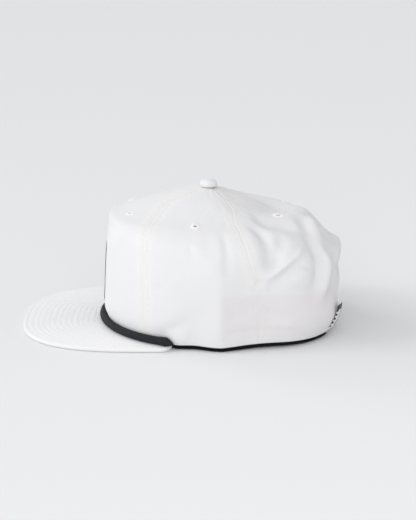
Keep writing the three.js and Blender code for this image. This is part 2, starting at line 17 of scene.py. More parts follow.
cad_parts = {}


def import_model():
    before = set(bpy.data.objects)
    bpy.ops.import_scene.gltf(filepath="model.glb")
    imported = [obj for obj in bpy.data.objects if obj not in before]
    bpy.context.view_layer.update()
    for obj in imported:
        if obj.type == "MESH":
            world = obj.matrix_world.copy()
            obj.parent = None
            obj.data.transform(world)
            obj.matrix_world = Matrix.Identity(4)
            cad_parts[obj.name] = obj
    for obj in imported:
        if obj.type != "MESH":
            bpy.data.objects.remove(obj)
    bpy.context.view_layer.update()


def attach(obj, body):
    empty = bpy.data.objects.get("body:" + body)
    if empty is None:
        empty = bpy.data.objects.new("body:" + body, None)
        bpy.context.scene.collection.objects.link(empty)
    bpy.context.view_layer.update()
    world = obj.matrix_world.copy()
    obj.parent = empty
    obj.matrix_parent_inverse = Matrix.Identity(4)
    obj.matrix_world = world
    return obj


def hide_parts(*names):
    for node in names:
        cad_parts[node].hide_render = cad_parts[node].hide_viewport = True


LOG = logging.getLogger("snapback_cap")
MM = 0.001
BODY = "root"
HEM_Z = 4.0  # height of the crown's hem
WALL = 1.2  # thickness of the crown's cloth in the solids
UP = np.array([0, 0, 1.0])
Array = np.ndarray
Face = tuple[int, ...]
Colour = tuple[float, float, float]
Socket = bpy.types.NodeSocket
Line = Callable[[Array], Array]
Reader = Callable[[str], Socket]
Writer = Callable[[str, Socket], None]


class Hand(Enum):
    """The wearer's side that a piece belongs to."""

    LEFT = 1
    RIGHT = -1

    @property
    def word(self) -> str:
        """The side's name inside the names of pieces."""
        return self.name.lower()


class PanelKind(Enum):
    """The three patterns that the five panels are cut from."""

    FRONT = "front"
    SIDE = "side"
    BACK = "back"


class Zone(Enum):
    """Channels of the colour layer that tells the cloth's shader what lies behind it, and where it paints
    shade.
    """

    TAPE = 0
    BAND = 1
    # Painted shade in the seams, at the hem, under the button's rim and along the peak's edge.
    WORN = 2


# Sums that several pieces share


def unit(vectors: Array) -> Array:
    """Scales vectors to length one."""
    return vectors / np.maximum(np.linalg.norm(vectors, axis=-1, keepdims=True), 1e-9)


def bump(distance: Array, middle: float, width: float) -> Array:
    """A rounded ridge of height one about a distance."""
    return np.exp(-(((distance - middle) / width) ** 2))


def ease(value: Array, low: float, high: float) -> Array:
    """Rises smoothly from 0 at low to 1 at high."""
    t = np.clip((value - low) / (high - low), 0, 1)
    return t * t * (3 - 2 * t)


def circle(count: int) -> Array:
    """Angles at equal steps round a circle, in radians."""
    return 2 * np.pi * np.arange(count) / count


def quarter(share: Array) -> Array:
    """Height of a quarter round, from 0 at share 0 to 1 at share 1."""
    return np.sqrt(np.clip(1 - (1 - share) ** 2, 0, 1))


def turned(bearing: Array) -> Array:
    """Bearing from the front on either side, from 0 to 180 degrees."""
    return np.abs((bearing + 180) % 360 - 180)


def run_along(path: Array) -> Array:
    """Distance travelled at each point of a path."""
    return np.concatenate([[0], np.cumsum(np.linalg.norm(np.diff(path, axis=0), axis=1))])


def resample(path: Array, count: int) -> Array:
    """Points at equal steps along a path."""
    run = run_along(path)
    at = np.linspace(0, run[-1], count)
    return np.stack([np.interp(at, run, path[:, k]) for k in range(path.shape[1])], -1)


def distance_to(points: Array, path: Array) -> Array:
    """Distance from each point to a path in the plane."""
    start, step = path[:-1], np.diff(path, axis=0)
    length = (step**2).sum(1)
    best = np.full(len(points), np.inf)
    for a, d, square in zip(start, step, length):
        t = np.clip(((points - a) @ d) / square, 0, 1)
        best = np.minimum(best, ((points - a - t[:, None] * d) ** 2).sum(1))
    return np.sqrt(best)


def unbroken(path: Array, jump: float) -> list[Array]:
    """Splits a path where it leaps further than a jump."""
    if len(path) < 2:
        return []
    breaks = np.where(np.linalg.norm(np.diff(path, axis=0), axis=1) > jump)[0] + 1
    return np.split(path, breaks)


# The crown's surface


def curve_through(at: Array, stations: Array, values: Array) -> Array:
    """Reads a smooth curve through table values, with three-point slopes.

    Args:
        at: Places to read.
        stations: The table's places, rising.
        values: The table's values.

    Returns:
        The curve's value at each place.
    """
    at = np.clip(at, stations[0], stations[-1])
    gaps = np.diff(stations)
    steep = np.diff(values) / gaps
    slopes = np.concatenate([[steep[0]], np.zeros(len(values) - 2), [steep[-1]]])
    slopes[1:-1] = (steep[:-1] * gaps[1:] + steep[1:] * gaps[:-1]) / (gaps[:-1] + gaps[1:])
    k = np.clip(np.searchsorted(stations, at, side="right") - 1, 0, len(stations) - 2)
    span = gaps[k]
    s = (at - stations[k]) / span
    rise = s * s * (3 - 2 * s)
    start = slopes[k] * span * s * (1 - s) ** 2
    end = slopes[k + 1] * span * s * s * (s - 1)
    return values[k] * (1 - rise) + values[k + 1] * rise + start + end


@dataclass(frozen=True)
class Fold:
    """A fold or dent: a line on the cloth, its spread, its height and the form of its crest."""

    b0: float
    c0: float
    b1: float
    c1: float
    width: float
    height: float
    sharp: bool = False


@dataclass(frozen=True)
class CrownForm:
    """The crown's outer surface: rings about the head, seams and folds.

    A place on it is a bearing in degrees from the front, positive to the wearer's left, and a
    climb in millimetres of cloth from the hem.
    """

    centre_y: float = 34.0
    meridian: float = 190.0
    flat_climb: float = 86.0
    fold_radius: float = 87.0
    roof_power: float = 1.3
    crest_fall: float = 1.5
    crest_round: float = 0.02
    back_reach: float = 105.0
    search_steps: int = 14
    # climb, centre, front, side, back, squareness front and back, height front, side and back
    rings: tuple[tuple[float, ...], ...] = (
        (0, 0, 96.8, 83.9, 96.4, 2, 2.35, 4, 4, 4),
        (12, 0, 98.8, 85.2, 100.8, 2.2, 2.5, 16, 16, 16),
        (36, 0, 98.1, 85.6, 98.8, 2.4, 2.6, 40, 40, 38),
        (64, 0, 96.5, 83.2, 99, 2.4, 2.6, 70, 68, 63),
        (84, -1, 94, 76.5, 89.5, 2.4, 2.5, 89, 85.5, 75.5),
        (97, -3, 90.5, 67, 81, 2.3, 2.4, 95.5, 93.5, 88),
        (110, -6, 78, 54, 76, 2.2, 2.2, 99, 99, 94),
        (139, -9, 50, 32.5, 48, 2, 2, 108, 109, 98.5),
        (167, -11, 23, 14.5, 22, 2, 2, 114.5, 114.5, 109.5),
        (190, -11.6, 0, 0, 0, 2, 2, 117.8, 117.8, 117.8),
    )
    # climb, bearing of the front seams, bearing of the back seams
    seams: tuple[tuple[float, float, float], ...] = (
        (0, 46.4, 109.6),
        (40, 48.6, 108.3),
        (62, 47.6, 105.8),
        (84, 45.4, 103.8),
        (97, 43.8, 104),
        (110, 40.8, 106.5),
        (140, 32, 117),
        (190, 29, 124),
    )
    folds: tuple[Fold, ...] = (
        Fold(89.3, -14, 89.3, 88, 17, 3.2, True),  # left side crease
        Fold(91.5, 60, 92.5, 96, 5, -1.6),  # dent beside its top
        Fold(111, -35, 111, 62, 27, -5.2),  # flat left flank
        Fold(75, -26, 75, 34, 11, -2),  # pinch behind the rope
        Fold(88, 60, 73, 86, 7, 1.3),  # slack edge on the side
        Fold(120, 106, 115, 66, 6.5, -4.4),  # hollow behind the seam
        Fold(113, 67, 130, 95, 4.8, -3),  # groove above the ridge
        Fold(114.5, 58, 136, 83, 3.6, 3.2, True),  # slanting ridge
        Fold(115, 49, 131, 73, 5, -2.8),  # valley under the ridge
        Fold(127, 50, 133, 64, 9, 2),  # pillow under the valley
        Fold(163, 112, 145, 86, 5.5, -3),  # corner valley, upper
        Fold(145, 88, 138, 46, 5, -3.4),  # corner valley, lower
        Fold(172, 107, 151, 84, 6, 3.2),  # corner ridge, upper
        Fold(150, 86, 142.5, 36, 5, 3.6),  # corner ridge, lower
        Fold(185, 103, 168, 80, 7, -2.5),  # back hollow, upper
        Fold(160, 74, 153, 38, 7, -3.4),  # back hollow, lower
        Fold(166, 74, 196, 66, 7, 3.6),  # roll across the back
        Fold(152, 52, 196, 52, 8, -3.4),  # dip above the arch
        Fold(160, 130, 200, 130, 11, -3.4),  # dip in the back roof
        Fold(128, 118, 150, 104, 12, -4.4),  # dent under the back eyelet
        Fold(159, 132, 173, 113, 9, 3),  # rise behind the back eyelet
        Fold(54, 6, 71, 22, 5, -2),  # tuck over the rope end
        Fold(62, 2, 71, 8, 5, 1.6),  # flare under the tuck
        Fold(-86, -14, -88, 84, 15, 3, True),  # right side crease
        Fold(-107, -35, -108, 60, 24, -4.6),  # flat right flank
        Fold(-73, -24, -73, 34, 11, -1.8),  # right pinch
        Fold(-112, 98, -115, 62, 8, -3.2),  # right hollow
        Fold(-113, 52, -130, 78, 5.5, 3.2, True),  # right slanting ridge
        Fold(-112, 38, -124, 58, 6, -2.6),  # right valley
        Fold(-158, 112, -142, 84, 6, -3),  # right corner valley, upper
        Fold(-136, 86, -134, 44, 6, -2.8),  # right corner valley, lower
        Fold(-146, 88, -141, 30, 6, 3),  # right corner ridge
        Fold(-157, 76, -155, 36, 8, -3),  # right back hollow
    )

    def ring(self, column: int, climb: Array) -> Array:
        """Reads one column of the ring table at each climb."""
        table = np.array(self.rings)
        return curve_through(climb, table[:, 0], table[:, column])

    def seam(self, column: int, climb: Array) -> Array:
        """Bearing of the front seam (column 1) or the back seam (column 2) at each climb."""
        table = np.array(self.seams)
        return curve_through(climb, table[:, 0], table[:, column])

    def smooth(self, bearing: Array, climb: Array) -> Array:
        """The surface without its folds.

        Args:
            bearing: Degrees from the front.
            climb: Millimetres of cloth from the hem.

        Returns:
            Points in millimetres, with the coordinates last.
        """
        bearing, climb = np.broadcast_arrays(np.asarray(bearing, float), np.asarray(climb, float))
        angle = np.radians(bearing)
        toward = np.cos(angle)
        ahead = toward > 0
        square = np.where(ahead, self.ring(5, climb), self.ring(6, climb))
        length = np.maximum(np.where(ahead, self.ring(2, climb), self.ring(4, climb)), 1e-6)
        width = np.maximum(self.ring(3, climb), 1e-6)
        total = np.abs(np.sin(angle) / width) ** square + np.abs(toward / length) ** square
        reach = total ** (-1 / square)
        share = toward * toward
        end_z = np.where(ahead, self.ring(7, climb), self.ring(9, climb))
        height = self.ring(8, climb) * (1 - share) + end_z * share
        y = self.centre_y + self.ring(1, climb) - reach * toward
        return np.stack([reach * np.sin(angle), y, height], -1)

    def normal(self, bearing: Array, climb: Array) -> Array:
        """Outward unit normal of the surface without its folds."""
        turn, step = 0.2, 0.4
        low = np.maximum(climb - step, 0)
        high = np.minimum(climb + step, self.meridian)
        around = self.smooth(bearing + turn, climb) - self.smooth(bearing - turn, climb)
        up = self.smooth(bearing, high) - self.smooth(bearing, low)
        return unit(np.cross(around, up))

    def fold_height(self, bearing: Array, climb: Array, folds: Sequence[Fold]) -> Array:
        """How far some folds push the cloth out at each place."""
        roof = np.clip((climb - self.flat_climb) / (self.meridian - self.flat_climb), 0, 1)
        radius = self.fold_radius * (1 - roof**self.roof_power)
        total = np.zeros(np.broadcast(bearing, climb).shape)
        for fold in folds:
            away = (bearing - (fold.b0 + fold.b1) / 2 + 180) % 360 - 180
            across = np.radians(away) * radius
            up = climb - (fold.c0 + fold.c1) / 2
            half_across = math.radians(fold.b1 - fold.b0) / 2 * radius
            half_up = (fold.c1 - fold.c0) / 2
            half = np.maximum(np.hypot(half_across, half_up), 1e-3)
            along = (across * half_across + up * half_up) / half**2
            off = np.abs(across * half_up - up * half_across) / half / fold.width
            if fold.sharp:
                rounded = np.sqrt(off * off + self.crest_round) - math.sqrt(self.crest_round)
                crest = np.exp(-self.crest_fall * rounded)
            else:
                crest = np.exp(-off * off)
            total = total + fold.height * crest * np.exp(-(along**4))
        return total

    def facing(self, bearing: Array, climb: Array) -> Array:
        """Outward unit normal of the folded cloth."""
        turn, step = 1.5, 2.0
        bearing, climb = np.asarray(bearing, float), np.asarray(climb, float)
        around = self.place(bearing + turn, climb) - self.place(bearing - turn, climb)
        up = self.place(bearing, climb + step) - self.place(bearing, climb - step)
        return unit(np.cross(around, up))

    def place(self, bearing: Array, climb: Array, out: Array | float = 0.0) -> Array:
        """Points on the folded cloth, moved outward by a given height."""
        bearing = np.asarray(bearing, float)
        climb = np.asarray(climb, float)
        lift = self.fold_height(bearing, climb, self.folds) + out
        return self.smooth(bearing, climb) + self.normal(bearing, climb) * lift[..., None]

    def radius(self, bearing: Array, climb: Array) -> Array:
        """Distance from the crown's upright axis, to turn bearings into millimetres."""
        here = self.smooth(bearing, climb)
        axis_y = self.centre_y + self.ring(1, climb)
        return np.maximum(np.hypot(here[..., 0], here[..., 1] - axis_y), 0.5)

    def behind(self, x: Array, z: Array) -> tuple[Array, Array]:
        """Finds the bearing and climb on the crown's back at given x and z."""
        x, z = np.broadcast_arrays(np.asarray(x, float), np.asarray(z, float))
        bearing = 180 - np.degrees(np.arcsin(np.clip(x / self.back_reach, -0.99, 0.99)))
        climb = np.maximum(z - HEM_Z, 0)
        for _ in range(self.search_steps):
            here = self.place(bearing, climb)
            away = np.hypot(here[..., 0], here[..., 1] - self.centre_y)
            bearing = bearing - np.degrees((x - here[..., 0]) / away)
            climb = np.maximum(climb + (z - here[..., 2]), 0)
        return bearing, climb


@dataclass(frozen=True)
class ClothNoise:
    """Seeded smooth noise over a sheet, for the small slack that no table lists."""

    seed: int
    size: int = 96

    def read(self, u: Array, v: Array) -> Array:
        """Noise from -1 to 1 at places given in lattice units."""
        lattice = np.random.default_rng(self.seed).uniform(-1, 1, (self.size, self.size))
        i, j = np.floor(u).astype(int), np.floor(v).astype(int)
        s, t = u - i, v - j
        s, t = s * s * (3 - 2 * s), t * t * (3 - 2 * t)
        n = self.size
        low = lattice[i % n, j % n] * (1 - s) + lattice[(i + 1) % n, j % n] * s
        high = lattice[i % n, (j + 1) % n] * (1 - s) + lattice[(i + 1) % n, (j + 1) % n] * s
        return low * (1 - t) + high * t


# Meshes


def new_object(name: str, points: Array, faces: list[Face]) -> bpy.types.Object:
    """Links an object with a new mesh into the scene.

    Args:
        name: Name of the object and of its mesh.
        points: The mesh's points in metres.
        faces: Point indices of each face.

    Returns:
        The object.
    """
    mesh = bpy.data.meshes.new(name)
    mesh.from_pydata(points.tolist(), [], faces)
    thing = bpy.data.objects.new(name, mesh)
    bpy.context.scene.collection.objects.link(thing)
    return thing


@dataclass
class Piece:
    """A mesh in the making: points in millimetres, faces, and layers by point."""

    name: str
    points: Array
    faces: list[Face]
    uv: Array | None = None
    zones: Array | None = None

    def build(
        self, material: bpy.types.Material, slot: str, nodes: Sequence[str] = ()
    ) -> bpy.types.Object:
        """Writes the mesh in metres, dresses it and hands it to the frame.

        Args:
            material: The finish.
            slot: The record's material slot; not used.
            nodes: CAD nodes that this piece stands for.

        Returns:
            The new object.
        """
        thing = new_object(self.name, self.points * MM, self.faces)
        mesh = thing.data
        mesh.validate()
        mesh.polygons.foreach_set("use_smooth", [True] * len(mesh.polygons))
        corners = np.empty(len(mesh.loops), int)
        mesh.loops.foreach_get("vertex_index", corners)
        if self.uv is not None:
            layer = mesh.uv_layers.new(name="Cloth")
            layer.data.foreach_set("uv", self.uv[corners].astype(np.float32).ravel())
        if self.zones is not None:
            colours = mesh.color_attributes.new("Zones", "FLOAT_COLOR", "POINT")
            covered = np.c_[self.zones, np.ones(len(self.zones))]
            colours.data.foreach_set("color", covered.astype(np.float32).ravel())
        mesh.update()
        mesh.materials.append(material)
        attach(thing, BODY)
        if nodes:
            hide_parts(*nodes)
        LOG.info("%s: %d faces", self.name, len(mesh.polygons))
        return thing


def grid_faces(
    rows: int, columns: int, start: int = 0, flip: bool = False, wrap: bool = False
) -> list[Face]:
    """Quads of a grid of points.

    Args:
        rows: Points one way.
        columns: Points the other way.
        start: Index of the first point.
        flip: Whether the quads face the other way.
        wrap: Whether the last column joins the first.

    Returns:
        The quads as index tuples.
    """
    row, column = np.meshgrid(np.arange(rows - 1), np.arange(columns if wrap else columns - 1), indexing="ij")
    beside = (column + 1) % columns
    a, b = row * columns + column, row * columns + beside
    c, d = (row + 1) * columns + beside, (row + 1) * columns + column
    quads = np.stack([a, d, c, b] if flip else [a, b, c, d], -1).reshape(-1, 4) + start
    return [tuple(q) for q in quads.tolist()]


def shell(name: str, outer: Array, inner: Array, uv: Array, zones: Array | None = None) -> Piece:
    """A closed sheet between two grids of points.

    Args:
        name: The piece's name.
        outer: Points seen from outside, rows by columns by three.
        inner: The same grid on the other side of the cloth.
        uv: Cloth coordinates by grid point.
        zones: Zone values by grid point.

    Returns:
        The piece, with the four borders closed.
    """
    rows, columns = outer.shape[:2]
    count = rows * columns
    index = np.arange(count).reshape(rows, columns)
    faces = grid_faces(rows, columns) + grid_faces(rows, columns, count, flip=True)
    border = np.concatenate([index[0, :-1], index[:-1, -1], index[-1, :0:-1], index[:0:-1, 0]])
    after = np.roll(border, -1)
    faces += [(int(a), int(a) + count, int(b) + count, int(b)) for a, b in zip(border, after)]
    points = np.concatenate([outer.reshape(-1, 3), inner.reshape(-1, 3)])
    both_uv = np.concatenate([uv.reshape(-1, 2)] * 2)
    both_zones = None if zones is None else np.concatenate([zones.reshape(-1, 3)] * 2)
    return Piece(name, points, faces, both_uv, both_zones)


def tube(name: str, rings: Array, uv: Array, zones: Array) -> Piece:
    """A closed tube through rings of points, with capped ends."""
    count, sides = rings.shape[:2]
    points = rings.reshape(-1, 3)
    faces = grid_faces(count, sides, wrap=True)
    faces.append(tuple(range(sides - 1, -1, -1)))
    faces.append(tuple(range((count - 1) * sides, count * sides)))
    return Piece(name, points, faces, uv, zones)


def merged(name: str, parts: Sequence[Piece]) -> Piece:
    """Several meshes as one piece."""
    faces: list[Face] = []
    start = 0
    for part in parts:
        faces += [tuple(i + start for i in face) for face in part.faces]
        start += len(part.points)
    points = np.concatenate([part.points for part in parts])
    uv = np.concatenate([np.zeros((len(p.points), 2)) if p.uv is None else p.uv for p in parts])
    return Piece(name, points, faces, uv)


def prism(outline: Array, along: Array) -> Piece:
    """A closed body that carries a flat outline along a straight way.

    Args:
        outline: Points in order, anticlockwise seen against the way.
        along: The way, with its length.

    Returns:
        The body.
    """
    count = len(outline)
    index = range(count)
    faces = [tuple(reversed(index)), tuple(i + count for i in index)]
    faces += [(i, (i + 1) % count, (i + 1) % count + count, i + count) for i in index]
    return Piece("prism", np.concatenate([outline, outline + along]), faces)


def drill(centre: Array, axis: Array, radius: float, length: float = 12.0, sides: int = 40) -> Piece:
    """A round rod through a place, for cutting a hole."""
    aslant = np.array([0.13, 0.31, 0.94])
    across = unit(np.cross(axis, aslant))
    other = np.cross(axis, across)
    angle = circle(sides)
    ring = radius * (np.cos(angle)[:, None] * across + np.sin(angle)[:, None] * other)
    return prism(centre - axis * length / 2 + ring, axis * length)


def carve(thing: bpy.types.Object, air: Piece, crisp: float = math.radians(55)) -> None:
    """Cuts a closed body out of an object's mesh and keeps the cut's edges crisp.

    Args:
        thing: The object, which keeps its name and its finish.
        air: What is cut away.
        crisp: Angle between faces from which an edge stays sharp.
    """
    tool = new_object("cut_away", air.points * MM, air.faces)
    mesh = tool.data
    step = thing.modifiers.new("cut_away", "BOOLEAN")
    step.operation, step.solver, step.object = "DIFFERENCE", "EXACT", tool
    whole = thing.data
    cut = bpy.data.meshes.new_from_object(thing.evaluated_get(bpy.context.evaluated_depsgraph_get()))
    thing.modifiers.clear()
    thing.data = cut
    bpy.data.objects.remove(tool)
    bpy.data.meshes.remove(mesh)
    bpy.data.meshes.remove(whole)
    cut.name = thing.name
    cut.set_sharp_from_angle(angle=crisp)


@dataclass(frozen=True)
class Stitching:
    """A row of machine stitches laid along a path on the cloth."""

    length: float = 2.2
    gap: float = 0.6
    radius: float = 0.17
    sides: int = 6

    def row(self, name: str, path: Array, normals: Array) -> Piece:
        """Lays stitches along a path.

        Args:
            name: The piece's name.
            path: Points on the cloth in order.
            normals: Outward unit normals at them.

        Returns:
            The stitches of the row as one mesh.
        """
        run = run_along(path)
        pitch = self.length + self.gap
        starts = np.arange(self.gap, run[-1] - self.length, pitch)
        part = np.array([0.0, 0.14, 0.5, 0.86, 1.0])
        lift = np.array([-0.9, 0.25, 0.55, 0.25, -0.9]) * self.radius
        size = np.array([0.55, 0.95, 1.0, 0.95, 0.55]) * self.radius
        at = starts[:, None] + part[None] * self.length
        middle = np.stack([np.interp(at, run, path[:, k]) for k in range(3)], -1)
        up = unit(np.stack([np.interp(at, run, normals[:, k]) for k in range(3)], -1))
        ahead = unit(middle[:, -1] - middle[:, 0])[:, None, :]
        side = unit(np.cross(ahead, up))
        angle = circle(self.sides)[:, None]
        spoke = np.cos(angle) * side[:, :, None, :] + np.sin(angle) * up[:, :, None, :]
        rings = (middle + up * lift[None, :, None])[:, :, None, :] + spoke * size[None, :, None, None]
        one = grid_faces(len(part), self.sides, flip=True, wrap=True)
        one.append(tuple(range(self.sides)))
        one.append(tuple(range(len(part) * self.sides - 1, (len(part) - 1) * self.sides - 1, -1)))
        each = len(part) * self.sides
        faces = [tuple(i + k * each for i in face) for k in range(len(starts)) for face in one]
        return Piece(name, rings.reshape(-1, 3), faces)


# Shader node groups


class Wiring:
    """Adds and joins nodes in one shader tree."""

    def __init__(self, tree: bpy.types.NodeTree) -> None:
        """Keeps the tree."""
        self.tree = tree

    def node(self, kind: str, **values: object) -> bpy.types.Node:
        """Adds a node and sets its properties or unlinked inputs by name.

        Args:
            kind: Blender's node type.
            **values: Property names, or input names with spaces written as underscores.

        Returns:
            The node.
        """
        made = self.tree.nodes.new(kind)
        for key, value in values.items():
            if key in made.bl_rna.properties:
                setattr(made, key, value)
            else:
                self.feed(made.inputs[key.replace("_", " ")], value)
        return made

    def feed(self, into: Socket, value: object) -> None:
        """Links a socket to an input, or sets the input to a value."""
        if isinstance(value, bpy.types.NodeSocket):
            self.tree.links.new(value, into)
        else:
            into.default_value = value

    def math(self, operation: str, a: object, b: object = 0.0, clamp: bool = False) -> Socket:
        """One step of arithmetic."""
        made = self.tree.nodes.new("ShaderNodeMath")
        made.operation, made.use_clamp = operation, clamp
        self.feed(made.inputs[0], a)
        self.feed(made.inputs[1], b)
        return made.outputs[0]

    def mix(self, share: object, first: object, second: object) -> Socket:
        """Mixes two colours."""
        made = self.tree.nodes.new("ShaderNodeMix")
        made.data_type = "RGBA"
        self.feed(made.inputs[0], share)
        self.feed(made.inputs[6], first)
        self.feed(made.inputs[7], second)
        return made.outputs[2]

    def cloth_place(self) -> Socket:
        """The cloth's own coordinates, in millimetres."""
        return self.node("ShaderNodeUVMap", uv_map="Cloth").outputs["UV"]

    def solid_place(self) -> Socket:
        """Coordinates in the part's frame, in metres."""
        return self.node("ShaderNodeTexCoord").outputs["Object"]

    def solid_place_mm(self) -> Socket:
        """Coordinates in the part's frame, in millimetres."""
        place = self.solid_place()
        return self.node("ShaderNodeVectorMath", operation="SCALE", Vector=place, Scale=1 / MM).outputs[0]

    def zones(self) -> bpy.types.NodeOutputs:
        """The zone values of the place, as the channels of a colour."""
        layer = self.node("ShaderNodeAttribute", attribute_name="Zones")
        return self.node("ShaderNodeSeparateColor", Color=layer.outputs["Color"]).outputs

    def times(self, a: object, b: object, clamp: bool = False) -> Socket:
        """A product."""
        return self.math("MULTIPLY", a, b, clamp)


class EffectGroups:
    """The shader node groups that several materials share, each built once."""

    def __init__(self) -> None:
        """Builds every group."""
        self.weave = self._weave()
        self.twill = self._twill()
        self.mottle = self._mottle()
        self.fuzz = self._fuzz()

    @staticmethod
    def _new(name: str, numbers: Sequence[str], outputs: Sequence[str]) -> tuple[Wiring, Reader, Writer]:
        """Starts a group that reads a place.

        Args:
            name: The group's name.
            numbers: Names of the inputs that are numbers.
            outputs: Names of the outputs, all numbers.

        Returns:
            The wiring, a reader of inputs and a writer of outputs.
        """
        tree = bpy.data.node_groups.new(name, "ShaderNodeTree")
        sockets = [("Place", "INPUT", "Vector")]
        sockets += [(number, "INPUT", "Float") for number in numbers]
        sockets += [(output, "OUTPUT", "Float") for output in outputs]
        for socket, side, kind in sockets:
            tree.interface.new_socket(name=socket, in_out=side, socket_type=f"NodeSocket{kind}")
        wiring = Wiring(tree)
        entry = tree.nodes.new("NodeGroupInput")
        leave = tree.nodes.new("NodeGroupOutput")

        def write(name: str, value: Socket) -> None:
            """Links a value to an output."""
            tree.links.new(value, leave.inputs[name])

        return wiring, lambda name: entry.outputs[name], write

    def _weave(self) -> bpy.types.NodeTree:
        """Plain weave of crossing threads, over the cloth's own coordinates in millimetres."""
        w, read, write = self._new("PlainWeave", ("Pitch",), ("Height", "Gap"))
        split = w.node("ShaderNodeSeparateXYZ", Vector=read("Place"))
        turn = w.math("DIVIDE", math.pi, read("Pitch"))
        warp, weft = (w.math("SINE", w.times(split.outputs[axis], turn)) for axis in "XY")
        write("Height", w.math("MULTIPLY_ADD", w.times(warp, weft), 0.5))
        beside = [w.math("SUBTRACT", 1.0, w.math("ABSOLUTE", wave)) for wave in (warp, weft)]
        write("Gap", w.times(*beside))
        return w.tree

    def _twill(self) -> bpy.types.NodeTree:
        """Diagonal ribs of twill or webbing."""
        w, read, write = self._new("Twill", ("Pitch",), ("Height", "Groove"))
        split = w.node("ShaderNodeSeparateXYZ", Vector=read("Place"))
        turn = w.math("DIVIDE", 2 * math.pi, read("Pitch"))
        slant, counter = (w.math(way, split.outputs["X"], split.outputs["Y"]) for way in ("ADD", "SUBTRACT"))
        rib = w.math("SINE", w.times(slant, turn))
        cross = w.math("SINE", w.times(counter, w.times(turn, 1.7)))
        both = w.math("ADD", w.times(rib, 0.4), w.times(cross, 0.12))
        write("Height", w.math("ADD", both, 0.5))
        write("Groove", w.times(w.math("SUBTRACT", 1.0, rib), 0.5, clamp=True))
        return w.tree

    def _mottle(self) -> bpy.types.NodeTree:
        """Slow and fast unevenness of a dyed or worn surface, as a mask about one half."""
        w, read, write = self._new("Mottle", ("Scale", "Detail"), ("Mask", "Fine"))
        place, scale, detail = read("Place"), read("Scale"), read("Detail")
        slow = w.node("ShaderNodeTexNoise", Vector=place, Scale=scale, Detail=detail, Roughness=0.55)
        fast = w.node("ShaderNodeTexNoise", Vector=place, Scale=w.times(scale, 9.0), Detail=3.0)
        write("Mask", slow.outputs["Fac"])
        write("Fine", fast.outputs["Fac"])
        return w.tree

    def _fuzz(self) -> bpy.types.NodeTree:
        """Short fibres drawn out along one way of a thread or cord."""
        w, read, write = self._new("ThreadFibre", ("Along", "Across"), ("Height",))
        split = w.node("ShaderNodeSeparateXYZ", Vector=read("Place"))
        across = w.times(split.outputs["X"], read("Across"))
        along = w.times(split.outputs["Y"], read("Along"))
        joined = w.node("ShaderNodeCombineXYZ", X=across, Y=along)
        grain = w.node("ShaderNodeTexNoise", Vector=joined.outputs["Vector"], Scale=1.0, Detail=4.0)
        write("Height", grain.outputs["Fac"])
        return w.tree

    @staticmethod
    def place(wiring: Wiring, tree: bpy.types.NodeTree, **values: object) -> bpy.types.Node:
        """Places a group in a material with its own values."""
        made = wiring.tree.nodes.new("ShaderNodeGroup")
        made.node_tree = tree
        for key, value in values.items():
            wiring.feed(made.inputs[key], value)
        return made


# Finishes


def rgba(colour: Colour) -> tuple[float, float, float, float]:
    """A colour with full cover."""
    return (*colour, 1.0)


def scaled(colour: Colour, share: float) -> Colour:
    """A colour made darker or lighter."""
    return (colour[0] * share, colour[1] * share, colour[2] * share)


@dataclass(frozen=True)
class Finish:
    """What every finish has: a name, a roughness and a sheen."""

    name: str
    roughness: float = 0.85
    sheen: float = 0.0
    specular: float = 0.3

    def start(self) -> tuple[bpy.types.Material, Wiring, bpy.types.Node]:
        """Makes the material with its one shader, and the wiring to feed it."""
        material = bpy.data.materials.new(self.name)
        material.use_nodes = True
        tree = material.node_tree
        shader = next(n for n in tree.nodes if n.type == "BSDF_PRINCIPLED")
        constants = {
            "Roughness": self.roughness,
            "Sheen Weight": self.sheen,
            "Sheen Roughness": 0.5,
            "Specular IOR Level": self.specular,
        }
        for name, value in constants.items():
            shader.inputs[name].default_value = value
        return material, Wiring(tree), shader

    def surface(
        self, w: Wiring, shader: bpy.types.Node, colour: Socket, fine: Socket, spread: float
    ) -> None:
        """Feeds the shader its colour and an uneven roughness.

        Args:
            w: The material's wiring.
            shader: Its shader.
            colour: The finished colour.
            fine: Fast unevenness from 0 to 1.
            spread: How far the roughness varies over it.
        """
        w.feed(shader.inputs["Base Color"], colour)
        rough = w.math("ADD", w.times(fine, spread), self.roughness - spread / 2)
        w.feed(shader.inputs["Roughness"], rough)

    @staticmethod
    def relief(
        w: Wiring, shader: bpy.types.Node, height: Socket, depth: float, strength: float
    ) -> None:
        """Raises the surface by a height map, to a depth in millimetres."""
        made = w.node("ShaderNodeBump", Strength=strength, Distance=depth * MM, Height=height)
        w.feed(shader.inputs["Normal"], made.outputs["Normal"])


@dataclass(frozen=True)
class WovenCloth(Finish):
    """White plain-weave cloth that shows what lies behind it, with painted shade where its zones mark it and
    between its threads.
    """

    cloth: Colour = (0.735, 0.735, 0.743)
    tape: Colour = (0.758, 0.75, 0.744)
    band: Colour = (0.72, 0.702, 0.705)
    # A darker tone, used both for random mottle and for painted shade: the shaded zone and the gaps between
    # threads.
    worn: Colour = (0.7, 0.695, 0.69)
    pitch: float = 0.42

    def material(self, groups: EffectGroups) -> bpy.types.Material:
        """Builds the material."""
        made, w, shader = self.start()
        place = w.cloth_place()
        weave = groups.place(w, groups.weave, Place=place, Pitch=self.pitch)
        mottle = groups.place(w, groups.mottle, Place=place, Scale=0.035, Detail=3.0)
        zones = w.zones()
        colour = w.mix(zones["Red"], rgba(self.cloth), rgba(self.tape))
        colour = w.mix(zones["Green"], colour, rgba(self.band))
        cloudy = w.times(w.math("SUBTRACT", mottle.outputs["Mask"], 0.42, clamp=True), 0.22)
        # Darkens toward that tone: painted shade from the zone layer, random mottle, and painted shade in the
        # gaps between threads.
        for share in (w.times(zones["Blue"], 0.5), cloudy, w.times(weave.outputs["Gap"], 0.16)):
            colour = w.mix(share, colour, rgba(self.worn))
        fine = mottle.outputs["Fine"]
        self.surface(w, shader, colour, fine, 0.1)
        height = w.math("ADD", weave.outputs["Height"], w.times(fine, 0.8))
        self.relief(w, shader, height, 0.06, 0.6)
        return made


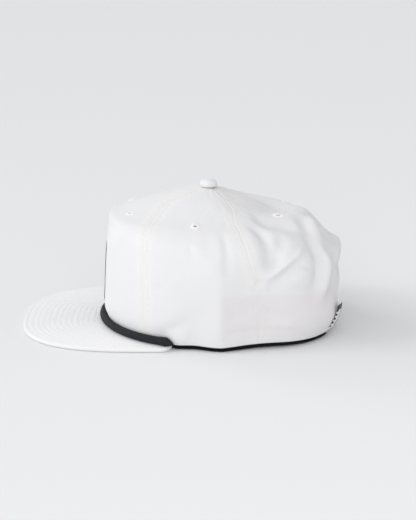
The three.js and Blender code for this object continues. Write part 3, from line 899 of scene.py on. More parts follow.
@dataclass(frozen=True)
class TwillTape(Finish):
    """Woven tape or webbing with diagonal ribs."""

    tape: Colour = (0.012, 0.012, 0.014)
    # Painted shade in the grooves between the ribs.
    groove: Colour = (0.004, 0.004, 0.005)
    pitch: float = 1.1
    depth: float = 0.12

    def material(self, groups: EffectGroups) -> bpy.types.Material:
        """Builds the material."""
        made, w, shader = self.start()
        place = w.cloth_place()
        twill = groups.place(w, groups.twill, Place=place, Pitch=self.pitch)
        mottle = groups.place(w, groups.mottle, Place=place, Scale=0.12, Detail=3.0)
        # Painted shade: the grooves between the ribs darken toward the groove colour.
        colour = w.mix(w.times(twill.outputs["Groove"], 0.6), rgba(self.tape), rgba(self.groove))
        colour = w.mix(w.times(mottle.outputs["Mask"], 0.35), colour, rgba(scaled(self.tape, 1.5)))
        self.surface(w, shader, colour, mottle.outputs["Fine"], 0.12)
        self.relief(w, shader, twill.outputs["Height"], self.depth, 0.5)
        return made


@dataclass(frozen=True)
class LabelWeave(Finish):
    """Fine woven ribbon with a dark border, blank inside it."""

    ground: Colour = (0.74, 0.745, 0.76)
    border: Colour = (0.012, 0.016, 0.034)
    pitch: float = 0.45

    def material(self, groups: EffectGroups) -> bpy.types.Material:
        """Builds the material."""
        made, w, shader = self.start()
        place = w.cloth_place()
        weave = groups.place(w, groups.weave, Place=place, Pitch=self.pitch)
        mottle = groups.place(w, groups.mottle, Place=place, Scale=0.3, Detail=3.0)
        colour = w.mix(w.zones()["Red"], rgba(self.ground), rgba(self.border))
        # Painted shade in the gaps between threads.
        colour = w.mix(w.times(weave.outputs["Gap"], 0.3), colour, rgba(scaled(self.ground, 0.3)))
        self.surface(w, shader, colour, mottle.outputs["Fine"], 0.12)
        self.relief(w, shader, weave.outputs["Height"], 0.05, 0.7)
        return made


@dataclass(frozen=True)
class SpunThread(Finish):
    """Sewing thread with fine fibres."""

    thread: Colour = (0.83, 0.825, 0.82)
    shade: Colour = (0.66, 0.655, 0.65)
    along: float = 0.5
    across: float = 6.0
    depth: float = 0.08

    def material(self, groups: EffectGroups) -> bpy.types.Material:
        """Builds the material."""
        made, w, shader = self.start()
        place = w.solid_place_mm()
        fibre = groups.place(w, groups.fuzz, Place=place, Along=self.along, Across=self.across)
        mottle = groups.place(w, groups.mottle, Place=place, Scale=0.4, Detail=2.0)
        colour = w.mix(w.times(fibre.outputs["Height"], 0.55), rgba(self.thread), rgba(self.shade))
        self.surface(w, shader, colour, mottle.outputs["Fine"], 0.14)
        self.relief(w, shader, fibre.outputs["Height"], self.depth, 0.6)
        return made


@dataclass(frozen=True)
class BraidYarn(Finish):
    """Dark polyester cord: its strands carry fibres, and painted shade darkens the valleys between them."""

    crest: Colour = (0.013, 0.014, 0.018)
    # Painted shade in the braid's valleys and along its sewn line.
    valley: Colour = (0.005, 0.005, 0.006)

    def material(self, groups: EffectGroups) -> bpy.types.Material:
        """Builds the material."""
        made, w, shader = self.start()
        place = w.cloth_place()
        fibre = groups.place(w, groups.fuzz, Place=place, Along=3.0, Across=3.0)
        mottle = groups.place(w, groups.mottle, Place=place, Scale=0.3, Detail=2.0)
        # The zone layer holds the braid's height: the low places get painted shade.
        colour = w.mix(w.zones()["Red"], rgba(self.valley), rgba(self.crest))
        colour = w.mix(w.times(fibre.outputs["Height"], 0.3), colour, rgba(scaled(self.crest, 1.9)))
        self.surface(w, shader, colour, mottle.outputs["Fine"], 0.16)
        self.relief(w, shader, fibre.outputs["Height"], 0.12, 0.6)
        return made


@dataclass(frozen=True)
class MouldedPlastic(Finish):
    """Satin moulded plastic with faint flow marks and rubbed patches."""

    plastic: Colour = (0.8, 0.8, 0.79)
    rubbed: Colour = (0.7, 0.695, 0.68)

    def material(self, groups: EffectGroups) -> bpy.types.Material:
        """Builds the material."""
        made, w, shader = self.start()
        mottle = groups.place(w, groups.mottle, Place=w.solid_place_mm(), Scale=0.16, Detail=4.0)
        colour = w.mix(w.times(mottle.outputs["Mask"], 0.3), rgba(self.plastic), rgba(self.rubbed))
        self.surface(w, shader, colour, mottle.outputs["Fine"], 0.18)
        self.relief(w, shader, mottle.outputs["Fine"], 0.03, 0.3)
        return made


@dataclass(frozen=True)
class PaperSweep(Finish):
    """The plain pale studio floor."""

    paper: Colour = (0.8, 0.805, 0.815)

    def material(self, groups: EffectGroups) -> bpy.types.Material:
        """Builds the material."""
        made, w, shader = self.start()
        mottle = groups.place(w, groups.mottle, Place=w.solid_place(), Scale=3.0, Detail=2.0)
        share = w.times(mottle.outputs["Mask"], 0.03)
        colour = w.mix(share, rgba(self.paper), rgba(scaled(self.paper, 0.9)))
        w.feed(shader.inputs["Base Color"], colour)
        return made


@dataclass(frozen=True)
class Wardrobe:
    """Every finish of the cap, built into materials."""

    cloth: bpy.types.Material
    backed_cloth: bpy.types.Material
    thread: bpy.types.Material
    eyelet: bpy.types.Material
    dark_thread: bpy.types.Material
    rope: bpy.types.Material
    band: bpy.types.Material
    tape: bpy.types.Material
    patch: bpy.types.Material
    patch_edge: bpy.types.Material
    label: bpy.types.Material
    plastic: bpy.types.Material
    floor: bpy.types.Material

    @classmethod
    def made(cls) -> "Wardrobe":
        """Builds the shared groups and then each material."""
        groups = EffectGroups()
        navy: Colour = (0.016, 0.022, 0.05)
        white_tape: Colour = (0.8, 0.795, 0.785)
        tape_shade: Colour = (0.6, 0.595, 0.585)
        # Painted light: the peak's cloth is the crown's white cloth, painted lighter.
        backed: Colour = (0.87, 0.87, 0.875)
        satin: Colour = (0.86, 0.85, 0.84)
        satin_shade: Colour = (0.72, 0.71, 0.7)
        soot: Colour = (0.03, 0.032, 0.038)
        finishes = {
            "cloth": WovenCloth("white_cloth", 0.9, 0.12, 0.25),
            "backed_cloth": WovenCloth("backed_cloth", 0.9, 0.1, 0.25, backed),
            "thread": SpunThread("white_thread", 0.75, 0.1),
            "eyelet": SpunThread("eyelet_thread", 0.7, 0.15, 0.3, satin, satin_shade),
            "dark_thread": SpunThread("dark_thread", 0.7, 0.1, 0.3, soot, (0.01, 0.01, 0.012)),
            "rope": BraidYarn("braid_yarn", 0.6, 0.03, 0.2),
            "band": TwillTape("sweatband_twill", 0.9, 0.0, 0.12, (0.006, 0.006, 0.007)),
            "tape": TwillTape("seam_tape", 0.9, 0.1, 0.3, white_tape, tape_shade, 0.9, 0.06),
            "patch": TwillTape("patch_twill", 0.85, 0.1, 0.3, navy, scaled(navy, 0.45), 0.8, 0.08),
            "patch_edge": SpunThread("overlock_thread", 0.6, 0.2, 0.3, scaled(navy, 1.3), scaled(navy, 0.5)),
            "label": LabelWeave("label_ribbon", 0.6, 0.1),
            "plastic": MouldedPlastic("snap_plastic", 0.42, 0.0, 0.5),
            "floor": PaperSweep("paper_sweep", 0.95, 0.0, 0.2),
        }
        return cls(**{use: finish.material(groups) for use, finish in finishes.items()})


# The crown


@dataclass
class Crown:
    """The five cloth panels, their seams, tapes and rows of stitching."""

    form: CrownForm
    wardrobe: Wardrobe
    wall: float = 1.0
    panel_top: float = 185.0
    row_step: float = 1.15
    columns: dict[PanelKind, int] = field(default_factory=lambda: dict(zip(PanelKind, (132, 108, 128))))
    stitch_off: float = 3.1
    stitch_low: float = 5.0
    stitch_high: float = 181.0
    hem_row: float = 4.2
    hem_row_end: float = 156.0
    hem_roll: float = 0.9
    slack_radius: float = 80.0
    pucker_pitch: float = 5.4
    pucker_off: float = 4.2
    tape_half: float = 7.6
    tape_low: float = 34.0
    tape_high: float = 182.0
    band_top: float = 43.0
    arch_half: float = 38.0
    arch_spring: float = 24.0
    arch_top: float = 52.0
    eyelet_hole: float = 1.7
    eyelets: tuple[tuple[PanelKind, float, float], ...] = (
        (PanelKind.FRONT, 18.7, 111.7),
        (PanelKind.FRONT, -18.7, 111.7),
        (PanelKind.SIDE, 73.4, 106),
        (PanelKind.SIDE, -73.4, 106),
        (PanelKind.BACK, 154.5, 123),
        (PanelKind.BACK, -153, 112),
    )
    creases: tuple[Fold, ...] = (
        Fold(54, 6, 71, 22, 5, 0.9),
        Fold(62, 2, 71, 8, 5, -0.7),
        Fold(71, 84, 74, 74, 2.6, -0.9),
        Fold(107, 54, 112, 54, 3.5, -1.0),
        Fold(53, 48, 58, 46, 3, -0.5),
        Fold(93, 28, 104, 26, 3.2, -0.7),
        Fold(95, 20, 107, 17, 3, 0.5),
        Fold(92, 12, 102, 11, 2.6, -0.5),
        Fold(100, 36, 109, 33, 3, -0.5),
        Fold(111, 30, 124, 24, 3.5, -0.7),
        Fold(114, 18, 130, 14, 3.2, 0.6),
        Fold(-94, 27, -105, 25, 3.2, -0.7),
        Fold(-112, 28, -124, 23, 3.5, -0.7),
    )

    def to_seam(self, bearing: Array, climb: Array) -> Array:
        """Millimetres from each place to the nearest seam, the one at the back's middle included."""
        front, back = self.form.seam(1, climb), self.form.seam(2, climb)
        turn = turned(bearing)
        away = np.minimum(np.minimum(np.abs(turn - front), np.abs(turn - back)), 180 - turn)
        return np.radians(away) * self.form.radius(bearing, climb)

    def slack(self, bearing: Array, climb: Array) -> Array:
        """Small unevenness of the cloth: none where the front is stiffened, most at the back."""
        turn = turned(bearing)
        soft = 0.12 + 0.38 * ease(turn, 40, 60) + 0.5 * ease(turn, 95, 120)
        across = np.radians(bearing) * self.slack_radius
        broad = ClothNoise(11).read(across / 16 + 40, climb / 13)
        ripple = ClothNoise(23).read(across / 6.5 + 60 + broad, climb / 9)
        fine = ClothNoise(5).read(across / 2.6 + 200, climb / 3.2 + 3)
        return soft * (0.34 * broad + 0.16 * ripple) + 0.022 * fine

    def stiff_front(self, bearing: Array, climb: Array) -> Array:
        """How far the stiff patch holds the front panel out of its curve."""
        here = self.form.smooth(bearing, climb)
        crest = self.form.smooth(np.zeros_like(bearing), climb)
        aside = np.abs(here[..., 0])
        hold = ease(aside, 50, 30) * ease(climb, 4, 20) * ease(climb, 88, 68) * (np.abs(bearing) < 60)
        return 0.72 * (here[..., 1] - crest[..., 1]) * hold

    def relief(self, bearing: Array, climb: Array) -> Array:
        """Height of the seams, stitch grooves, puckers, small creases and slack."""
        away = self.to_seam(bearing, climb)
        groove = -0.2 * bump(away, 0, 0.42) + 0.03 * bump(away, 1.7, 1)
        groove = groove - 0.07 * bump(away, self.stitch_off, 0.5)
        phase = climb * 2 * np.pi / self.pucker_pitch + 2.3 * np.sin(climb / 15) + bearing * 0.7
        pucker = 0.08 * np.sin(phase) * bump(away, self.pucker_off, 2.4)
        edge = 0.05 * ease(away, self.tape_half + 1, self.tape_half - 1)
        hem = -0.5 * (1 - quarter(np.clip(climb / self.hem_roll, 0, 1)))
        hem = hem - 0.09 * bump(climb, self.hem_row, 0.5) + 0.08 * bump(climb, 2.2, 1.2)
        band = 0.06 * ease(climb, self.band_top + 0.8, self.band_top - 0.8)
        creases = self.form.fold_height(bearing, climb, self.creases)
        folds = creases + self.slack(bearing, climb) + self.stiff_front(bearing, climb)
        return groove + pucker + edge + hem + band + folds

    def zones(self, bearing: Array, climb: Array) -> Array:
        """Zone values: the tapes and the band behind the cloth, and painted shade in its seams and along its
        hem.
        """
        away = self.to_seam(bearing, climb)
        tape = ease(away, self.tape_half + 1.3, self.tape_half - 1.1) * (0.75 + 0.25 * ease(away, 0.8, 2.4))
        wave = ClothNoise(31).read(np.radians(bearing) * 8, climb / 30)
        turn = turned(bearing)
        band = ease(climb, self.band_top + 1.6 + wave, self.band_top - 1.6 + wave) * ease(turn, 86, 91)
        band = band * (0.35 + 0.65 * ease(climb, 9 + wave, 15 + wave))
        # Painted shade in the seam grooves and along the hem.
        worn = np.clip(0.45 * bump(away, 0, 0.4) + bump(climb, 0, 0.7), 0, 1)
        return np.stack([tape, band, worn], -1)

    def edges(self, kind: PanelKind, hand: Hand, climb: Array) -> tuple[Array, Array]:
        """Bearings of a panel's two seams at each climb, the lower one first."""
        front, back = self.form.seam(1, climb), self.form.seam(2, climb)
        if kind is PanelKind.FRONT:
            return -front, front
        low, high = (front, back) if kind is PanelKind.SIDE else (back, np.full_like(back, 180.0))
        return (low, high) if hand is Hand.LEFT else (-high, -low)

    def panel(self, name: str, kind: PanelKind, hand: Hand) -> None:
        """Builds one panel as a closed sheet with rolled seams.

        Args:
            name: The CAD node that it stands for.
            kind: Its pattern.
            hand: Its side.
        """
        rows = np.arange(1.2, self.panel_top, self.row_step)
        climbs = np.concatenate([[0, 0.12, 0.35, 0.7], rows, [self.panel_top]])
        t = np.linspace(0, 1, self.columns[kind])
        share = t - 0.62 * np.sin(2 * np.pi * t) / (2 * np.pi)
        low, high = self.edges(kind, hand, climbs)
        bearing = low[:, None] + (high - low)[:, None] * share[None]
        climb = np.repeat(climbs[:, None], len(t), 1)
        relief = self.relief(bearing, climb)
        outer = self.form.place(bearing, climb, relief)
        inner = self.form.place(bearing, climb, np.minimum(relief, 0.2) - self.wall)
        uv = np.stack([np.radians(bearing) * self.form.radius(bearing, climb), climb], -1)
        piece = shell(f"{name}_cloth", outer, inner, uv, self.zones(bearing, climb))
        thing = piece.build(self.wardrobe.cloth, "cloth", [name])
        carve(thing, self.openings(kind, hand))

    def openings(self, kind: PanelKind, hand: Hand) -> Piece:
        """The air that is cut from a panel: its eyelet holes, and the arch from a back panel."""
        parts = []
        for place, bearing, climb in self.eyelets:
            if place is kind and (kind is PanelKind.FRONT or bearing * hand.value > 0):
                axis = self.form.facing(bearing, climb)
                parts.append(drill(self.form.place(bearing, climb), axis, self.eyelet_hole))
        if kind is PanelKind.BACK:
            parts.append(self.arch_air())
        return merged("openings", parts)

    def arch_air(self) -> Piece:
        """The air of the closure's arch, as a block through the back of the crown."""
        front, back, bottom = 79.0, 169.0, -10.0
        angle = np.linspace(np.pi, 0, 65)
        x = self.arch_half * np.cos(angle)
        z = self.arch_spring + (self.arch_top - self.arch_spring) * np.sin(angle)
        x = np.concatenate([x, [self.arch_half, -self.arch_half]])
        z = np.concatenate([z, [bottom, bottom]])
        outline = np.stack([x, np.full_like(x, front), z], -1)
        return prism(outline, np.array([0, back - front, 0]))

    def seam_line(self, column: int, hand: Hand) -> Line:
        """The bearing of one seam, to be read at any climb."""
        return lambda climb: hand.value * self.form.seam(column, climb)

    def seam_lines(self) -> dict[str, tuple[Line, float]]:
        """Each seam's name with its bearing by climb and the climb that it starts at."""
        lines: dict[str, tuple[Line, float]] = {}
        for hand in Hand:
            for column, place in ((1, "front"), (2, "back")):
                lines[f"{place}_{hand.word}"] = (self.seam_line(column, hand), self.stitch_low)
        lines["middle"] = (lambda c: np.full_like(c, 180.0), self.arch_top - 1)
        return lines

    def sewn(self, name: str, bearing: Array, climb: Array) -> Piece:
        """A row of stitches on the cloth through given places."""
        path = self.form.place(bearing, climb, self.relief(bearing, climb))
        return Stitching().row(name, path, self.form.normal(bearing, climb))

    def stitches(self) -> None:
        """Lays two rows beside each seam and one round the hem."""
        rows = []
        for name, (line, start) in self.seam_lines().items():
            climb = np.linspace(start, self.stitch_high, 260)
            for sign in (-1, 1):
                off = np.degrees(self.stitch_off / self.form.radius(line(climb), climb))
                rows.append(self.sewn(name, line(climb) + sign * off, climb))
        bearing = np.linspace(-self.hem_row_end, self.hem_row_end, 900)
        rows.append(self.sewn("hem", bearing, np.full_like(bearing, self.hem_row)))
        merged("crown_stitching", rows).build(self.wardrobe.thread, "thread")

    def tapes(self) -> None:
        """Sews a tape over each seam inside."""
        for name, (line, start) in self.seam_lines().items():
            climb = np.linspace(max(start, self.tape_low), self.tape_high, 110)
            across = np.linspace(-1, 1, 13)
            radius = self.form.radius(line(climb), climb)
            half = np.minimum(self.tape_half, radius * 0.5)
            bearing = line(climb)[:, None] + np.degrees(across[None] * (half / radius)[:, None])
            rows = np.repeat(climb[:, None], len(across), 1)
            ripple = 0.06 * np.sin(rows * 1.1 + across * 3)
            crown = -self.wall - 0.12 - 0.25 * (1 - across**4)[None] - ripple
            outer = self.form.place(bearing, rows, np.full_like(rows, -self.wall - 0.08))
            inner = self.form.place(bearing, rows, crown - 0.3)
            uv = np.stack([across[None] * half[:, None], rows], -1)
            shell(f"seam_tape_{name}", outer, inner, uv).build(self.wardrobe.tape, "cloth")

    def build(self) -> None:
        """Builds the crown."""
        self.panel("front_panel", PanelKind.FRONT, Hand.LEFT)
        for hand in Hand:
            for kind in (PanelKind.SIDE, PanelKind.BACK):
                self.panel(f"{kind.value}_panel_{hand.word}", kind, hand)
        self.stitches()
        self.tapes()


@dataclass
class Eyelets:
    """Six sewn eyelets: rings of satin stitch round punched holes."""

    crown: Crown
    outer: float = 3.7
    inner: float = 1.3
    threads: int = 36

    def build(self) -> None:
        """Sews each eyelet."""
        for kind, bearing, climb in self.crown.eyelets:
            hand = Hand.LEFT if bearing > 0 else Hand.RIGHT
            self.eyelet(f"eyelet_{kind.value}_{hand.word}", bearing, climb)

    def eyelet(self, name: str, bearing: float, climb: float) -> None:
        """Builds one ring of radial stitches over the cloth's edge.

        Args:
            name: The CAD node that it stands for.
            bearing: Its place round the crown.
            climb: Its place up the crown.
        """
        form = self.crown.form
        steps = self.threads * 6
        angle = circle(steps)
        share = np.array([0, 0.01, 0.05, 0.16, 0.37, 0.64, 0.83, 0.95, 0.99, 1])
        radial = self.inner + (self.outer - self.inner) * share
        height = np.array([-1.2, -0.2, 0.42, 0.72, 0.78, 0.66, 0.46, 0.22, -0.02, -0.4])
        uneven = ClothNoise(int(abs(bearing)) + 3).read(angle[None] * 3.2 + 9, np.zeros((1, steps)))
        ridge = np.abs(np.sin(angle * self.threads / 2))[None] ** 0.7
        reach = radial[:, None] * (1 + 0.035 * uneven * ease(radial, 2, 3.3)[:, None])
        lift = height[:, None] + (0.2 * ridge - 0.2) * ease(height, -0.5, 0.4)[:, None]
        turn = np.degrees(reach * np.cos(angle) / form.radius(bearing, climb))
        b, c = bearing + turn, climb + reach * np.sin(angle)
        base = form.place(b, c, self.crown.slack(b, c))
        axis = form.facing(np.array(bearing), np.array(climb))
        points = base + axis * lift[..., None]
        faces = grid_faces(len(radial), steps, wrap=True, flip=True)
        ring = Piece(f"{name}_ring", points.reshape(-1, 3), faces)
        ring.build(self.crown.wardrobe.eyelet, "thread", [name])


@dataclass
class Button:
    """The covered button on top, its cloth gathered under the rim."""

    form: CrownForm
    wardrobe: Wardrobe
    radius: float = 7.3
    height: float = 5.4
    shoulder: float = 0.9
    gathers: int = 16

    def build(self) -> None:
        """Builds the dome with its gathers."""
        apex = self.form.smooth(np.array(0.0), np.array(self.form.meridian))
        share = np.linspace(0, 1, 40)
        arc = share * np.pi / 2
        radius = self.radius * np.cos(arc) ** 0.72
        height = self.shoulder + (self.height - self.shoulder) * np.sin(arc) ** 0.95
        skirt_r = self.radius * np.array([0.9, 0.965, 0.995])
        skirt_z = np.array([-0.75, -0.2, 0.4])
        radius, height = np.concatenate([skirt_r, radius]), np.concatenate([skirt_z, height])
        steps = 144
        angle = circle(steps)
        fade = np.exp(-np.clip(height + 0.3, 0, None) / 1.5)
        gather = 1 + 0.022 * fade[:, None] * np.cos(angle * self.gathers + 0.6 * np.sin(3 * angle))
        wide = np.maximum(radius, 0.02)[:, None] * gather
        z = np.repeat(apex[2] + height[:, None], steps, 1)
        points = np.stack([apex[0] + wide * np.cos(angle), apex[1] + wide * np.sin(angle), z], -1)
        uv = np.stack([points[..., 0], points[..., 1] + points[..., 2] * 0.7], -1)
        faces = grid_faces(len(height), steps, wrap=True)
        zones = np.zeros((len(height) * steps, 3))
        # Painted shade on the cloth tucked under the rim.
        zones[:, Zone.WORN.value] = np.repeat(bump(height, -0.6, 0.5), steps)
        cover = Piece("button_cover", points.reshape(-1, 3), faces, uv.reshape(-1, 2), zones)
        cover.build(self.wardrobe.cloth, "cloth", ["button"])


# The peak and the rope


@dataclass
class Peak:
    """The flat stiffened peak with its parallel rows of stitching."""

    form: CrownForm
    wardrobe: Wardrobe
    half_width: float = 85.0
    reach: float = 108.6
    centre_y: float = -60.0
    power: float = 2.8
    thickness: float = 3.6
    side_y: float = -52.0
    control_y: float = -42.6
    corner: float = 61.5
    under_wall: float = 0.9
    first_row: float = 4.0
    row_pitch: float = 4.7
    rows: int = 13
    crowding: float = 1.55
    slack_size: float = 13.0
    longest_step: float = 4.0

    def outline(self, count: int) -> Array:
        """The outer edge from the left corner round the front to the right, evenly stepped."""
        middle = self.form.centre_y + self.centre_y
        side_y, control_y = self.form.centre_y + self.side_y, self.form.centre_y + self.control_y
        t = np.linspace(0, 1, 80)[:, None]
        corner = self.form.place(self.corner, 0.0, -self.under_wall)[:2]
        control, side = np.array([self.half_width, control_y]), np.array([self.half_width, side_y])
        curve = (1 - t) ** 2 * corner + 2 * t * (1 - t) * control + t**2 * side
        angle = np.linspace(0, np.pi / 2, 400)
        x = np.cos(angle) ** (2 / self.power) * self.half_width
        y = middle - np.sin(angle) ** (2 / self.power) * self.reach
        half = np.concatenate([curve, np.stack([x, y], -1)])
        other = (half * np.array([-1, 1]))[::-1]
        return resample(np.concatenate([half, other[1:]]), count)

    def rear(self, count: int) -> Array:
        """The rear edge under the crown's wall, from corner to corner."""
        bearing = np.linspace(self.corner, -self.corner, 400)
        return resample(self.form.place(bearing, np.zeros_like(bearing), -self.under_wall)[:, :2], count)

    def plan(self, columns: int, rows: int) -> tuple[Array, Array]:
        """The peak's plan as a grid from the outer edge to the rear.

        Args:
            columns: Points round the edge.
            rows: Points from the edge to the rear.

        Returns:
            The grid's x and y, and each point's distance from the outer edge.
        """
        edge, rear = self.outline(columns), self.rear(columns)
        share = (np.linspace(0, 1, rows) ** self.crowding)[:, None, None]
        grid = edge[None] * (1 - share) + rear[None] * share
        return grid, distance_to(grid.reshape(-1, 2), self.outline(700)).reshape(rows, columns)

    def quilting(self, away: Array) -> Array:
        """Depth of the stitched channels and the swell between them."""
        phase = (away - self.first_row) / self.row_pitch
        nearest = np.abs(phase - np.clip(np.round(phase), 0, self.rows - 1)) * self.row_pitch
        return -0.14 * np.exp(-((nearest / 0.5) ** 2)) - 0.06 * np.exp(-((nearest / 1.5) ** 2))

    def rim(self, away: Array) -> Array:
        """Half thickness of the rounded edge at a distance from it."""
        half = self.thickness / 2
        return half * quarter(np.clip(away / half, 0, 1))

    def build(self) -> None:
        """Builds the cloth over the board and its stitching."""
        columns, rows = 380, 150
        grid, away = self.plan(columns, rows)
        half = self.thickness / 2
        across, along = (grid[..., axis] / self.slack_size + 50 for axis in (0, 1))
        slack = 0.06 * ClothNoise(41).read(across, along)
        slack = slack + 0.03 * ClothNoise(43).read(across * 3.1, along * 3.1)
        inner = ease(away, 1.0, 4.0)
        top = half + self.rim(away) + (self.quilting(away) + slack) * inner
        low = half - self.rim(away) - self.quilting(away) * inner * 0.8
        above = np.concatenate([grid, top[..., None]], -1)
        below = np.concatenate([grid, np.maximum(low, 0.0)[..., None]], -1)
        zones = np.zeros((rows, columns, 3))
        # Painted shade along the rounded outer edge.
        zones[..., Zone.WORN.value] = bump(away, 0, 1.6)
        piece = shell("peak_cloth", above[:, ::-1], below[:, ::-1], grid[:, ::-1], zones[:, ::-1])
        # The peak's cloth is painted lighter than the crown's: painted light.
        piece.build(self.wardrobe.backed_cloth, "cloth", ["peak"])
        self.stitches(grid, away, top, low)

    def stitches(self, grid: Array, away: Array, top: Array, low: Array) -> None:
        """Lays each row of stitches where the grid crosses its distance from the edge."""
        sewing = Stitching()
        over, under = [], []
        for row in range(self.rows):
            want = self.first_row + row * self.row_pitch
            for surface, rows, sign in ((top, over, 1.0), (low, under, -1.0)):
                path = []
                for column in range(grid.shape[1]):
                    line = away[:, column]
                    if line.max() < want + 0.6:
                        continue
                    k = int(np.argmax(line > want))
                    s = (want - line[k - 1]) / (line[k] - line[k - 1])
                    place = grid[k - 1, column] * (1 - s) + grid[k, column] * s
                    height = surface[k - 1, column] * (1 - s) + surface[k, column] * s
                    path.append((place[0], place[1], height - 0.05 * sign))
                for run in unbroken(np.array(path), self.longest_step):
                    if len(run) > 8:
                        rows.append(sewing.row("peak", run, np.tile([0, 0, sign], (len(run), 1))))
        merged("peak_stitching", over).build(self.wardrobe.thread, "thread")
        merged("peak_stitching_below", under).build(self.wardrobe.thread, "thread")


@dataclass
class Rope:
    """The braided rope over the joint of crown and peak, sewn down at its pointed ends."""

    form: CrownForm
    wardrobe: Wardrobe
    radius: float = 3.2
    end: float = 63.5
    climb: float = 3.2
    bulge: float = 1.12
    taper: float = 7.0
    floor: float = 3.9
    strands: int = 6
    lay: float = 2.9
    ridge: float = 0.42
    gap: float = 0.3
    tip_share: float = 0.16

    def centre(self, bearing: Array) -> Array:
        """The rope's middle line."""
        wall = self.form.place(bearing, np.full_like(bearing, self.climb))
        out = self.form.normal(bearing, np.full_like(bearing, self.climb)) * np.array([1, 1, 0])
        middle = wall + unit(out) * (self.radius + self.gap)
        middle[:, 2] = self.floor + self.radius
        return middle

    def braid(self, run: Array, angle: Array) -> Array:
        """Height of a tubular braid, from 0 in its valleys to 1 on its crests.

        Args:
            run: Distance along the rope.
            angle: Angle around it.

        Returns:
            The height at each place.
        """
        turn = angle / (2 * np.pi) * self.strands
        a, b = turn + run / self.lay, turn - run / self.lay
        over = (np.floor(a) + np.floor(b)) % 2 < 0.5
        u, v = a - np.floor(a), b - np.floor(b)
        profile = np.where(over, np.sin(np.pi * u), np.sin(np.pi * v))
        length = np.where(over, np.sin(np.pi * v), np.sin(np.pi * u))
        return profile**0.6 * (0.45 + 0.55 * length**0.5)

    def build(self) -> None:
        """Builds the rope, with a sewn line pressed along it."""
        fine = np.linspace(-self.end, self.end, 1200)
        line = self.centre(fine)
        run = run_along(line)
        count, sides = 760, 72
        at = np.linspace(0, run[-1], count)
        bearing = np.interp(at, run, fine)
        middle = self.centre(bearing)
        ahead = unit(self.centre(bearing + 0.5) - self.centre(bearing - 0.5))
        outward = np.cross(ahead, UP)
        to_end = (self.end - np.abs(bearing)) * 1.6
        point = ease(to_end, -0.6, self.taper)
        swell = 1 + (self.bulge - 1) * np.exp(-(((to_end - self.taper) / 5) ** 2))
        size = self.radius * (self.tip_share + (1 - self.tip_share) * point**0.7) * swell
        seat = self.floor + self.radius - (self.radius - size) * 0.7
        inward = (self.radius * swell - size) * 0.6
        angle = -circle(sides)
        high = self.braid(at[:, None], angle[None])
        sewn = bump(np.degrees(angle), -318, 9)[None] * ease(to_end, 3, 9)[:, None]
        round_size = size[:, None] * (1 + self.ridge * (high - 0.72) / self.radius) * (1 - 0.1 * sewn)
        reach = round_size * np.cos(angle) - inward[:, None] + (self.radius * (swell - 1))[:, None]
        points = middle[:, None] + outward[:, None] * reach[..., None]
        points[..., 2] = np.maximum(seat[:, None] + round_size * np.sin(angle), self.floor - 0.25)
        uv = np.stack(np.broadcast_arrays(angle[None] * self.radius, at[:, None]), -1)
        # Painted shade for the braid's valleys and the sewn line, passed to the shader in the zone layer.
        shade = np.clip(high * (1 - 0.7 * sewn), 0, 1).reshape(-1)
        piece = tube("rope_braid", points, uv.reshape(-1, 2), np.stack([shade] * 3, -1))
        piece.build(self.wardrobe.rope, "rope", ["rope"])


# Trim


@dataclass
class FrontPatch:
    """The blank round-cornered patch on the front, with an overlocked edge."""

    crown: Crown
    half_width: float = 27.0
    half_height: float = 22.5
    centre_climb: float = 43.5
    roundness: float = 0.1
    lift: float = 0.05
    thickness: float = 0.45
    corner_power: float = 9.0
    edge_share: float = 0.985
    thread_pitch: float = 0.85

    def spot(self, s: Array, t: Array, lift: Array | float) -> Array:
        """A point of the patch at shares of its half width and half height."""
        x = s * self.half_width * np.sqrt(1 - self.roundness * t * t)
        climb = self.centre_climb + t * self.half_height * np.sqrt(1 - self.roundness * s * s)
        form = self.crown.form
        bearing = np.degrees(np.arcsin(x / form.ring(2, climb)))
        return form.place(bearing, climb, lift + self.crown.stiff_front(bearing, climb))

    def build(self) -> None:
        """Builds the field and its overlocked edge."""
        share = np.linspace(-1, 1, 61)
        s, t = np.meshgrid(share, share)
        worn = 0.06 * ClothNoise(51).read(s * 6 + 20, t * 6 + 20)
        field_uv = np.stack([s * self.half_width, t * self.half_height], -1)
        field_top = self.spot(s, t, self.lift + self.thickness * 0.7 + worn)
        field_low = self.spot(s, t, np.full_like(s, self.lift))
        field_piece = shell("front_patch_field", field_top, field_low, field_uv)
        field_piece.build(self.crown.wardrobe.patch, "patch", ["front_patch"])
        self.edge()

    def edge(self) -> None:
        """Builds the overlocked edge as a cord of slanting threads."""
        around = np.linspace(0, 4, 721)[:-1]
        side = np.floor(around).astype(int)
        step = (around - side) * 2 - 1
        edges = [side == k for k in range(4)]
        s = np.select(edges, [step, 1.0, -step, -1.0])
        t = np.select(edges, [-1.0, step, 1.0, -step])
        power = self.corner_power
        scale = (np.abs(s) ** power + np.abs(t) ** power) ** (-1 / power)
        s, t = s * scale * self.edge_share, t * scale * self.edge_share
        middle = self.spot(s, t, self.lift + 0.12)
        ahead = unit(np.roll(middle, -1, 0) - np.roll(middle, 1, 0))
        up = unit(self.spot(s, t, 2.0) - middle)
        out = np.cross(ahead, up)
        run = np.cumsum(np.linalg.norm(np.diff(middle, axis=0, append=middle[:1]), axis=1))
        sides = 14
        angle = circle(sides)
        rib = np.abs(np.sin(np.pi * run[:, None] / self.thread_pitch + angle[None] * 0.8))
        wide, high = 1.25 + 0.1 * rib, 0.26 + 0.08 * rib
        aside = out[:, None] * (wide * np.cos(angle))[..., None]
        points = middle[:, None] + aside + up[:, None] * (high * np.sin(angle))[..., None]
        faces = grid_faces(len(middle) + 1, sides, wrap=True)
        total = len(middle) * sides
        faces = [tuple(i % total for i in face) for face in faces]
        cord = Piece("front_patch_edge", points.reshape(-1, 3), faces)
        cord.build(self.crown.wardrobe.patch_edge, "patch")


